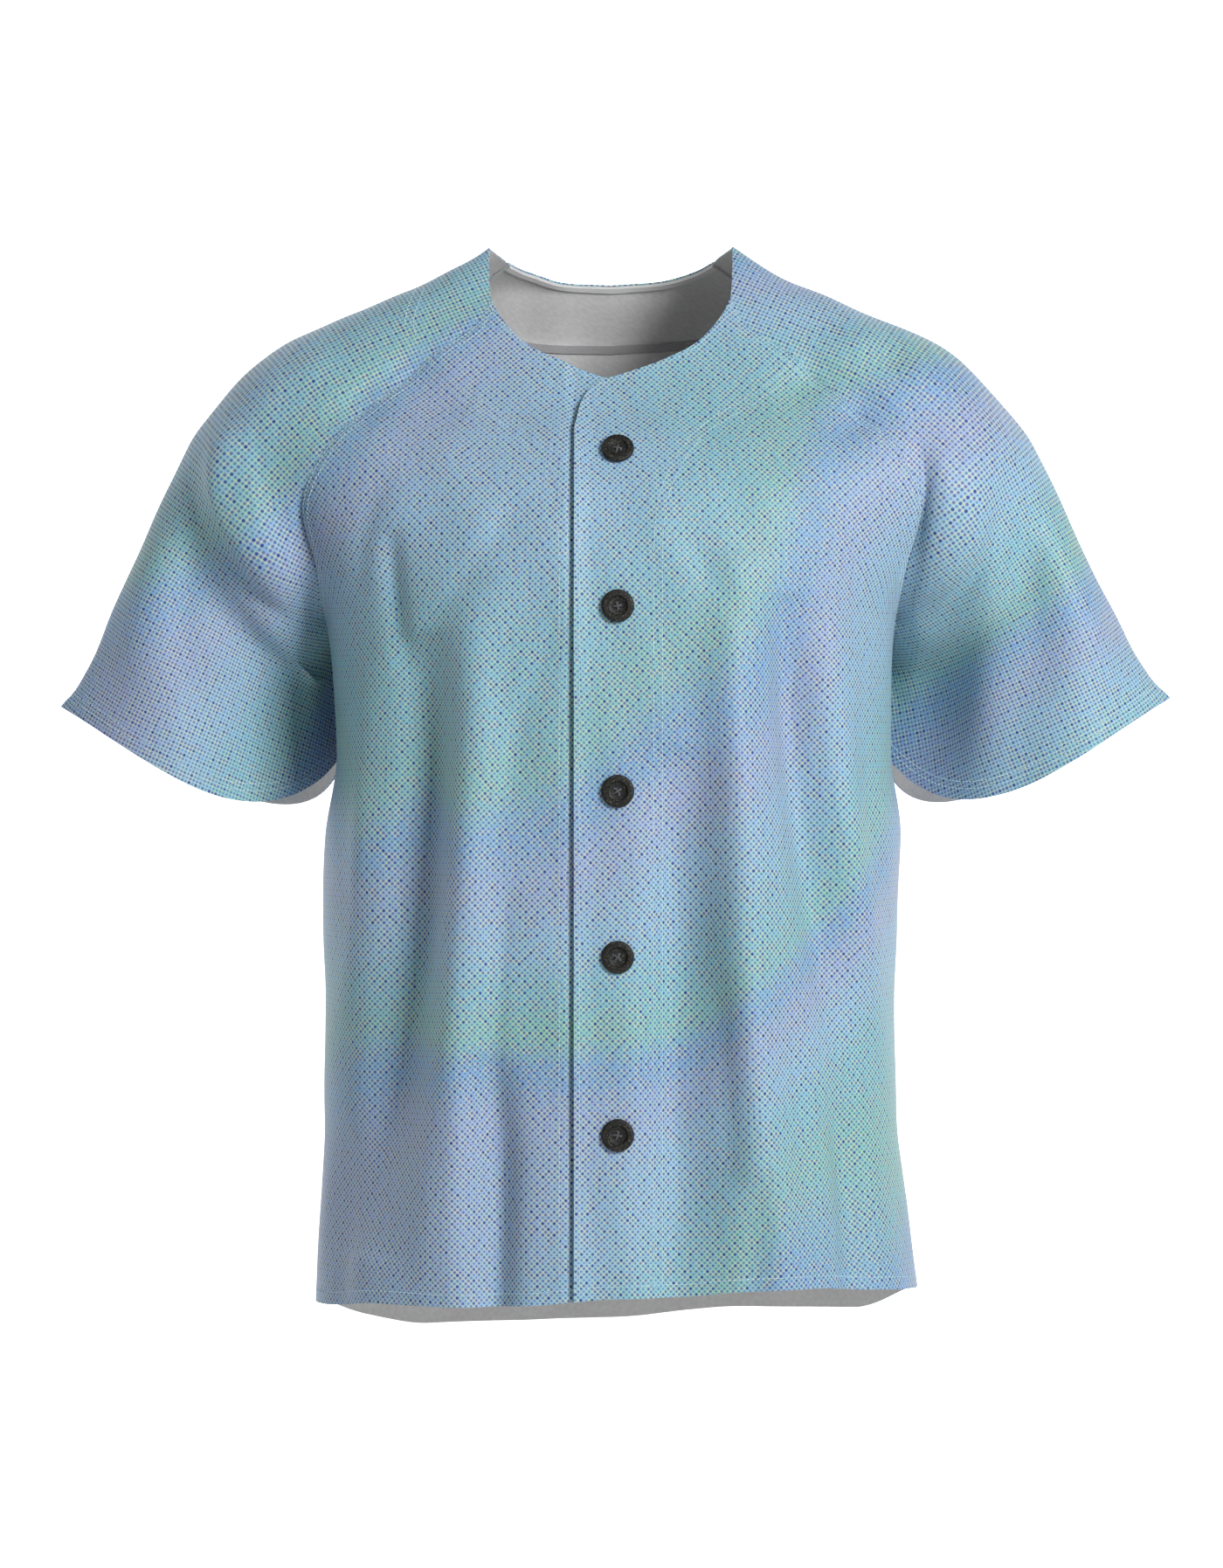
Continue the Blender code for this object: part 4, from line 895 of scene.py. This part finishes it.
sleeves = {}
for side, name in ((1, "sleeve_left"), (-1, "sleeve_right")):
    grid = sleeve_grid(side, COUNTS)
    creases = fold_depth(SLEEVE_CREASES, np.abs(grid[..., 0]), grid[..., 2])
    round_shares = np.abs(np.linspace(-1, 1, grid.shape[1]))
    edge_fade = eased((1 - round_shares) / FOLD_FADE) * eased(round_shares / FOLD_FADE)
    grid = grid - (creases * edge_fade)[..., None] * grid_normals(grid, -side)
    grid = uneven(grid, -side)
    below = COUNTS["raglan"]
    grid = relaxed(grid, below)
    rows = np.arange(len(grid))
    columns = np.arange(grid.shape[1])
    under = eased((24 - np.minimum(columns, columns[::-1])) / 12)
    drawn = ARMPIT_DRAW * eased((rows - below + 9) / 9) * eased((below + 22 - rows) / 10)
    grid[..., 0] -= side * drawn[:, None] * under
    middle = len(columns) // 2
    room = LEAST_ROOM * eased(np.minimum(columns, middle - columns)[:middle] / 14)
    grid[below:, :middle, 1] = np.minimum(grid[below:, :middle, 1], grid[below:, :-middle - 1:-1, 1] - room)
    fade = eased((below - rows) / ARMPIT_ROWS) * eased(rows / SEAM_END)
    grid = sewn_edge(grid, -side, fade, left=True, right=True)
    grid[below:, 0] = grid[below:, -1] = (grid[below:, 0] + grid[below:, -1]) / 2
    sleeves[name] = grid
    piece = cloth("cloth_" + name, tucked(grid, -side, below), WALL, (PRINTED, INSIDE), outside=-side)
    declare(piece, [name])


# Topstitching in matching thread: two rows over each raglan seam, two along the front facings, one close to
# the free edge of the outer front and the neck, one above the hem and two above each cuff.

STITCH_PITCH = 0.0033
STITCH_LENGTH = 0.0025
STITCH_RADIUS = 0.00034
STITCH_LIFT = 0.00008
# The sewn edge of a front facing, seen from the front, from the shoulder to where it runs straight down
FACING_LINE = table("x  z",
                    (0.1296, -0.0290), (0.1366, -0.0559), (0.1320, -0.0720), (0.1209, -0.0877),
                    (0.1026, -0.1032), (0.0605, -0.1310), (0.0424, -0.1556), (0.0315, -0.1857),
                    (0.0291, -0.2219), (0.0291, -0.4000), (0.0291, -0.7150))


def thread_finish():
    """Spun polyester thread, a shade paler than the cloth."""
    material, tree, surface = finish("sewing thread", roughness=0.6, specular=0.35)
    place = node(tree, "ShaderNodeTexCoord").outputs["Object"]
    shade = node(tree, "ShaderNodeTexNoise", {"Vector": place, "Scale": 25.0, "Detail": 1.0}).outputs[0]
    colour = ramp(tree, shade, ((0.35, (0.45, 0.63, 0.72)), (0.65, (0.58, 0.76, 0.82))))
    tree.links.new(colour, surface.inputs["Base Color"])
    return material


def stitch_tree():
    """Geometry nodes that lay a row of short thread stitches along each line of the mesh they are put on."""
    tree = bpy.data.node_groups.new("stitch rows", "GeometryNodeTree")
    sockets = tree.interface
    sockets.new_socket("Geometry", in_out="OUTPUT", socket_type="NodeSocketGeometry")
    sockets.new_socket("Lines", in_out="INPUT", socket_type="NodeSocketGeometry")
    for name in ("Pitch", "Length", "Radius"):
        sockets.new_socket(name, in_out="INPUT", socket_type="NodeSocketFloat")
    sockets.new_socket("Thread", in_out="INPUT", socket_type="NodeSocketMaterial")
    given = node(tree, "NodeGroupInput")
    line = node(tree, "GeometryNodeMeshToCurve", {"Mesh": given.outputs["Lines"]})
    spots = node(tree, "GeometryNodeCurveToPoints", {"Curve": line.outputs[0], "Length": given.outputs["Pitch"]},
                 mode="LENGTH")
    facing = node(tree, "FunctionNodeAlignRotationToVector", {"Vector": spots.outputs["Tangent"]}, axis="Z")
    tilt = node(tree, "FunctionNodeRandomValue", {2: -0.09, 3: 0.09, "Seed": 7}, data_type="FLOAT")
    turn = node(tree, "FunctionNodeRotateRotation", {"Rotation": facing.outputs[0]}, rotation_space="LOCAL")
    swing = node(tree, "ShaderNodeCombineXYZ", {"X": tilt.outputs[1], "Y": tilt.outputs[1]})
    tree.links.new(swing.outputs[0], turn.inputs["Rotate By"])
    bead = node(tree, "GeometryNodeMeshUVSphere", {"Segments": 6, "Rings": 4, "Radius": 1.0})
    half = node(tree, "ShaderNodeMath", {0: given.outputs["Length"], 1: 0.5}, operation="MULTIPLY")
    shape = node(tree, "ShaderNodeCombineXYZ", {"X": given.outputs["Radius"], "Y": given.outputs["Radius"],
                                                "Z": half.outputs[0]})
    laid = node(tree, "GeometryNodeInstanceOnPoints", {
        "Points": spots.outputs["Points"], "Instance": bead.outputs["Mesh"], "Rotation": turn.outputs[0],
        "Scale": shape.outputs[0]})
    real = node(tree, "GeometryNodeRealizeInstances", {"Geometry": laid.outputs[0]})
    dressed = node(tree, "GeometryNodeSetMaterial", {"Geometry": real.outputs[0],
                                                     "Material": given.outputs["Thread"]})
    node(tree, "NodeGroupOutput", {"Geometry": dressed.outputs[0]})
    return tree


THREAD = thread_finish()
STITCHES = stitch_tree()


def stitched(name, lines, pitch=STITCH_PITCH, length=STITCH_LENGTH, radius=STITCH_RADIUS, thread=THREAD):
    """One piece of many stitches, along lines of points."""
    mesh = bpy.data.meshes.new(name)
    points = []
    edges = []
    for line in lines:
        start = len(points)
        points += [tuple(point) for point in line]
        edges += [(i, i + 1) for i in range(start, len(points) - 1)]
    mesh.from_pydata(points, edges, [])
    piece = bpy.data.objects.new(name, mesh)
    bpy.context.scene.collection.objects.link(piece)
    rows = piece.modifiers.new("stitches", "NODES")
    rows.node_group = STITCHES
    given = {"Pitch": pitch, "Length": length, "Radius": radius, "Thread": thread}
    for item in STITCHES.interface.items_tree:
        if item.in_out == "INPUT" and item.name in given:
            rows[item.identifier] = given[item.name]
    flattened(piece)
    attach(piece, "root")
    return piece


def beside_edge(grid, outside, edge, distance, lift=STITCH_LIFT):
    """A line on a panel at a distance from one of its edges, just over its surface."""
    normals = grid_normals(grid, outside)
    if edge in ("bottom", "top"):
        grid, normals = grid.transpose(1, 0, 2), normals.transpose(1, 0, 2)
    if edge in ("right", "top"):
        grid, normals = grid[:, ::-1], normals[:, ::-1]
    lengths = arc_lengths(grid, 1)
    line = []
    for points, out, along_row in zip(grid, normals, lengths):
        place = [np.interp(distance, along_row, points[:, axis]) for axis in range(3)]
        direction = [np.interp(distance, along_row, out[:, axis]) for axis in range(3)]
        line.append(np.array(place) + lift * np.array(direction))
    return np.array(line)


def dropped(panels, x, z, lift=STITCH_LIFT):
    """Points at these places seen from the front, on the nearest of some panels, just over its surface."""
    points = []
    faces = []
    for grid in panels:
        rows, columns = grid.shape[:2]
        start = len(points)
        points += [tuple(point) for point in grid.reshape(-1, 3)]
        index = start + np.arange(rows * columns).reshape(rows, columns)
        faces += np.stack((index[:-1, :-1], index[:-1, 1:], index[1:, 1:], index[1:, :-1]),
                          axis=-1).reshape(-1, 4).tolist()
    tree = BVHTree.FromPolygons(points, faces)
    line = []
    for at_x, at_z in zip(x, z):
        hit, normal, _, _ = tree.ray_cast(Vector((at_x, -1, at_z)), Vector((0, 1, 0)))
        if hit is not None:
            outward = normal if normal.y < 0 else -normal
            line.append(np.array(hit + outward * lift))
    return np.array(line)


def facing_rows(side, panels):
    """The two rows that hold a front facing, six millimetres apart."""
    share = np.linspace(0, 1, 260)
    path = along(FACING_LINE, share)
    ahead = np.gradient(path, axis=0)
    across = np.stack((-ahead[:, 1], ahead[:, 0]), axis=-1) / np.linalg.norm(ahead, axis=1)[:, None]
    return [dropped(panels, side * (path[:, 0] + offset * across[:, 0]), path[:, 1] + offset * across[:, 1])
            for offset in (0, 0.006)]


facing_lines = []
raglan_lines = []
for side, name, sleeve in ((1, "front_left", "sleeve_left"), (-1, "front_right", "sleeve_right")):
    facing_lines += facing_rows(side, (fronts[name], sleeves[sleeve]))
    seam_rows = slice(COUNTS["side"], None)
    for distance in (0.0022, 0.0068):
        raglan_lines.append(beside_edge(fronts[name], side, "right", distance)[seam_rows])
        raglan_lines.append(beside_edge(back, 1, "left" if side > 0 else "right", distance)[seam_rows])
stitched("stitches_front_facings", facing_lines)
stitched("stitches_raglan_seams", raglan_lines)

outer = fronts["front_left"]
edge_lines = [beside_edge(outer, 1, "left", 0.0035)[4:], beside_edge(outer, 1, "top", 0.0035)[3:]]
edge_lines.append(beside_edge(fronts["front_right"], -1, "top", 0.0035)[8:])
stitched("stitches_placket_and_neck", edge_lines)

hem_lines = [beside_edge(fronts["front_left"], 1, "bottom", 0.0085), beside_edge(fronts["front_right"], -1, "bottom", 0.0085),
             beside_edge(back, 1, "bottom", 0.0085)]
stitched("stitches_hem", hem_lines)

cuff_lines = []
for side, name in ((1, "sleeve_left"), (-1, "sleeve_right")):
    cuff_lines += [beside_edge(sleeves[name], -side, "top", distance) for distance in (0.0075, 0.0125)]
stitched("stitches_cuffs", cuff_lines)

facing_line = [beside_edge(facing_grid, 1, "top", 0.005, lift=-FACING_WALL - STITCH_LIFT)]
stitched("stitches_neck_facing", facing_line)


# The buttons, turned from mottled black resin with a raised rim and a sunk middle, each sewn through
# four holes with crossed black thread to the under front and pushed through the outer one.

BUTTON_ACROSS = 0.0225
BUTTON_X = 0.0048
BUTTON_HEIGHTS = (-0.1465, -0.2540, -0.3799, -0.4927, -0.6138)
HOLE_RADIUS = 0.00110
HOLE_PLACE = 0.0019          # from the button's centre lines to each hole's centre


def button_finish():
    """Dark resin with fine pale and brown specks."""
    material, tree, surface = finish("button resin", roughness=0.55, specular=0.35)
    place = node(tree, "ShaderNodeTexCoord").outputs["Object"]
    specks = node(tree, "ShaderNodeTexNoise", {"Vector": place, "Scale": 900.0, "Detail": 4.0}).outputs[0]
    colour = ramp(tree, specks, ((0.44, (0.004, 0.004, 0.004)), (0.58, (0.018, 0.018, 0.016)), (0.74, (0.13, 0.12, 0.08))))
    tree.links.new(colour, surface.inputs["Base Color"])
    worn = node(tree, "ShaderNodeBump", {"Height": specks, "Strength": 0.25, "Distance": 0.0002})
    tree.links.new(worn.outputs[0], surface.inputs["Normal"])
    return material


def button_shape():
    """One button about the origin: a turned profile with four drilled holes, as a mesh."""
    radius = BUTTON_ACROSS / 2
    profile = ((0.0, 0.0015), (0.30, 0.0015), (0.52, 0.0016), (0.57, 0.0020), (0.60, 0.0029), (0.63, 0.0032),
               (0.86, 0.0033), (0.93, 0.0031), (0.975, 0.0026), (1.0, 0.0018), (0.985, 0.0009), (0.92, 0.0002),
               (0.80, 0.0), (0.0, 0.0))
    mesh = bpy.data.meshes.new("button profile")
    mesh.from_pydata([(share * radius, 0, z) for share, z in profile],
                     [(i, i + 1) for i in range(len(profile) - 1)], [])
    blank = bpy.data.objects.new("button blank", mesh)
    bpy.context.scene.collection.objects.link(blank)
    turned = blank.modifiers.new("turned", "SCREW")
    turned.steps = turned.render_steps = 64
    turned.use_merge_vertices = True
    turned.merge_threshold = 0.00001
    drills = []
    for x in (-HOLE_PLACE, HOLE_PLACE):
        for y in (-HOLE_PLACE, HOLE_PLACE):
            bpy.ops.mesh.primitive_cylinder_add(vertices=20, radius=HOLE_RADIUS, depth=0.01, location=(x, y, 0.001))
            drills.append(bpy.context.object)
            hole = blank.modifiers.new("hole", "BOOLEAN")
            hole.object = drills[-1]
            hole.operation = "DIFFERENCE"
    flattened(blank, crisp=35)
    shape = blank.data.copy()
    for used in (blank, *drills):
        bpy.data.objects.remove(used)
    return shape


def thread_cross():
    """Crossed strands through the four holes, as points of several short arcs."""
    arcs = []
    for slant in (-1, 1):
        for strand in (-1.5, -0.5, 0.5, 1.5):
            share = np.linspace(-1, 1, 9)
            x = share * HOLE_PLACE * 1.15 + strand * 0.00022
            y = slant * share * HOLE_PLACE * 1.15 - slant * strand * 0.00022
            z = 0.0016 + 0.0009 * np.sqrt(np.maximum(1 - share ** 2, 0)) + 0.0002 * (slant > 0)
            arcs.append(np.stack((x, y, z), axis=-1))
    return arcs


def strands(name, lines, radius, material):
    """Round threads along some lines, as one mesh."""
    curve = bpy.data.curves.new(name, "CURVE")
    curve.dimensions = "3D"
    curve.bevel_depth = radius
    curve.bevel_resolution = 1
    curve.use_fill_caps = True
    for line in lines:
        spline = curve.splines.new("POLY")
        spline.points.add(len(line) - 1)
        for point, place in zip(spline.points, line):
            point.co = (*place, 1)
    rope = bpy.data.objects.new(name, curve)
    bpy.context.scene.collection.objects.link(rope)
    mesh = bpy.data.meshes.new_from_object(rope.evaluated_get(bpy.context.evaluated_depsgraph_get()))
    bpy.data.objects.remove(rope)
    mesh.materials.clear()
    mesh.materials.append(material)
    mesh.shade_smooth()
    return mesh


RESIN = button_finish()
BLACK_THREAD, _, black_surface = finish("button thread", roughness=0.7, specular=0.3)
black_surface.inputs["Base Color"].default_value = (0.100, 0.100, 0.105, 1)
button_mesh = button_shape()
cross_mesh = strands("thread", thread_cross(), 0.00020, BLACK_THREAD)
hole_edges = []
for number, height in enumerate(BUTTON_HEIGHTS, start=1):
    seat = torso(turn_at(np.array([BUTTON_X]), np.array([height])), np.array([height]), -1)
    outward = Vector(torso_normal(seat, -1)[0])
    seat = Vector(seat[0]) - outward * fold_depth(BODY_FRONT_FOLDS, seat[:, 0], seat[:, 2])[0]
    tilt = Vector((0, 0, 1)).rotation_difference(outward).to_matrix().to_4x4()
    spin = Matrix.Rotation(math.radians(9 + 23 * number), 4, "Z")
    place = Matrix.Translation(seat + outward * LAYER_GAP) @ tilt @ spin
    for name, shape, material in (("button_%d_resin" % number, button_mesh, RESIN),
                                  ("button_%d_thread" % number, cross_mesh, BLACK_THREAD)):
        mesh = shape.copy()
        mesh.materials.clear()
        mesh.materials.append(material)
        mesh.transform(place)
        piece = bpy.data.objects.new(name, mesh)
        bpy.context.scene.collection.objects.link(piece)
        if name.endswith("resin"):
            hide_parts("button_%d" % number)
        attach(piece, "root")


# The photographer's set: a white sweep behind and under the jersey, a large soft light at the front right,
# weaker ones at the left and overhead, and a long lens level with the middle of the garment.

CAMERA_AWAY = 5.0
CAMERA_HEIGHT = -0.375
FRAME_HEIGHT = 1.09495       # how much of the jersey's own plane the picture is tall
SENSOR = 0.036
FLOOR = -1.05


def white_set():
    """Matte white that also glows a little, so that it stays even, and is clear when seen from behind."""
    material, tree, surface = finish("white sweep", roughness=0.9, specular=0.0)
    surface.inputs["Base Color"].default_value = (0.9, 0.9, 0.9, 1)
    surface.inputs["Emission Color"].default_value = (1, 1, 1, 1)
    surface.inputs["Emission Strength"].default_value = 0.85
    behind = node(tree, "ShaderNodeNewGeometry").outputs["Backfacing"]
    clear = node(tree, "ShaderNodeBsdfTransparent").outputs[0]
    either = node(tree, "ShaderNodeMixShader", {0: behind, 1: surface.outputs[0], 2: clear}).outputs[0]
    tree.links.new(either, tree.nodes["Material Output"].inputs["Surface"])
    return material


sweep_profile = [(1.0, FLOOR), (2.2, FLOOR)]
sweep_profile += [(2.2 + 1.5 * math.sin(angle), FLOOR + 1.5 * (1 - math.cos(angle)))
                  for angle in np.linspace(0.1, math.pi / 2, 14)]
sweep_profile.append((3.7, 5.0))
sweep_mesh = bpy.data.meshes.new("sweep")
sweep_points = [(x, y, z) for y, z in sweep_profile for x in (-7.0, 7.0)]
sweep_faces = [(i, i + 1, i + 3, i + 2) for i in range(0, 2 * len(sweep_profile) - 2, 2)]
sweep_mesh.from_pydata(sweep_points, [], sweep_faces)
sweep_mesh.materials.append(white_set())
sweep_mesh.shade_smooth()
sweep = bpy.data.objects.new("sweep", sweep_mesh)
bpy.context.scene.collection.objects.link(sweep)
floor_mesh = bpy.data.meshes.new("floor")
floor_mesh.from_pydata([(-7, -4, FLOOR), (7, -4, FLOOR), (7, 1.0, FLOOR), (-7, 1.0, FLOOR)], [], [(0, 1, 2, 3)])
floor_mesh.materials.append(finish("pale floor", roughness=0.9, specular=0.0)[0])
floor = bpy.data.objects.new("floor", floor_mesh)
bpy.context.scene.collection.objects.link(floor)


def soft_light(name, place, size, power):
    """A square softbox aimed at the middle of the jersey."""
    light = bpy.data.lights.new(name, "AREA")
    light.shape = "SQUARE"
    light.size = size
    light.energy = power
    lamp = bpy.data.objects.new(name, light)
    lamp.location = place
    lamp.rotation_euler = (Vector((0, 0, CAMERA_HEIGHT)) - Vector(place)).to_track_quat("-Z", "Y").to_euler()
    bpy.context.scene.collection.objects.link(lamp)


soft_light("front right softbox", (2.3, -3.1, 1.2), 1.5, 162)
soft_light("left softbox", (-3.2, 0.5, 0.3), 1.4, 18)
soft_light("overhead softbox", (-0.9, -0.8, 2.0), 0.8, 8)

world = bpy.data.worlds.new("studio")
world.use_nodes = True
world.node_tree.nodes["Background"].inputs["Color"].default_value = (1, 1, 1, 1)
world.node_tree.nodes["Background"].inputs["Strength"].default_value = 0.07
bpy.context.scene.world = world
bpy.context.scene.view_settings.view_transform = "Standard"

lens = bpy.data.cameras.new("camera")
lens.sensor_fit = "VERTICAL"
lens.sensor_height = SENSOR * 1000
lens.lens = SENSOR * 1000 * CAMERA_AWAY / FRAME_HEIGHT
camera = bpy.data.objects.new("camera", lens)
camera.location = (0.0006, -CAMERA_AWAY, CAMERA_HEIGHT)
camera.rotation_euler = (math.pi / 2, 0, 0)
bpy.context.scene.collection.objects.link(camera)
bpy.context.scene.camera = camera
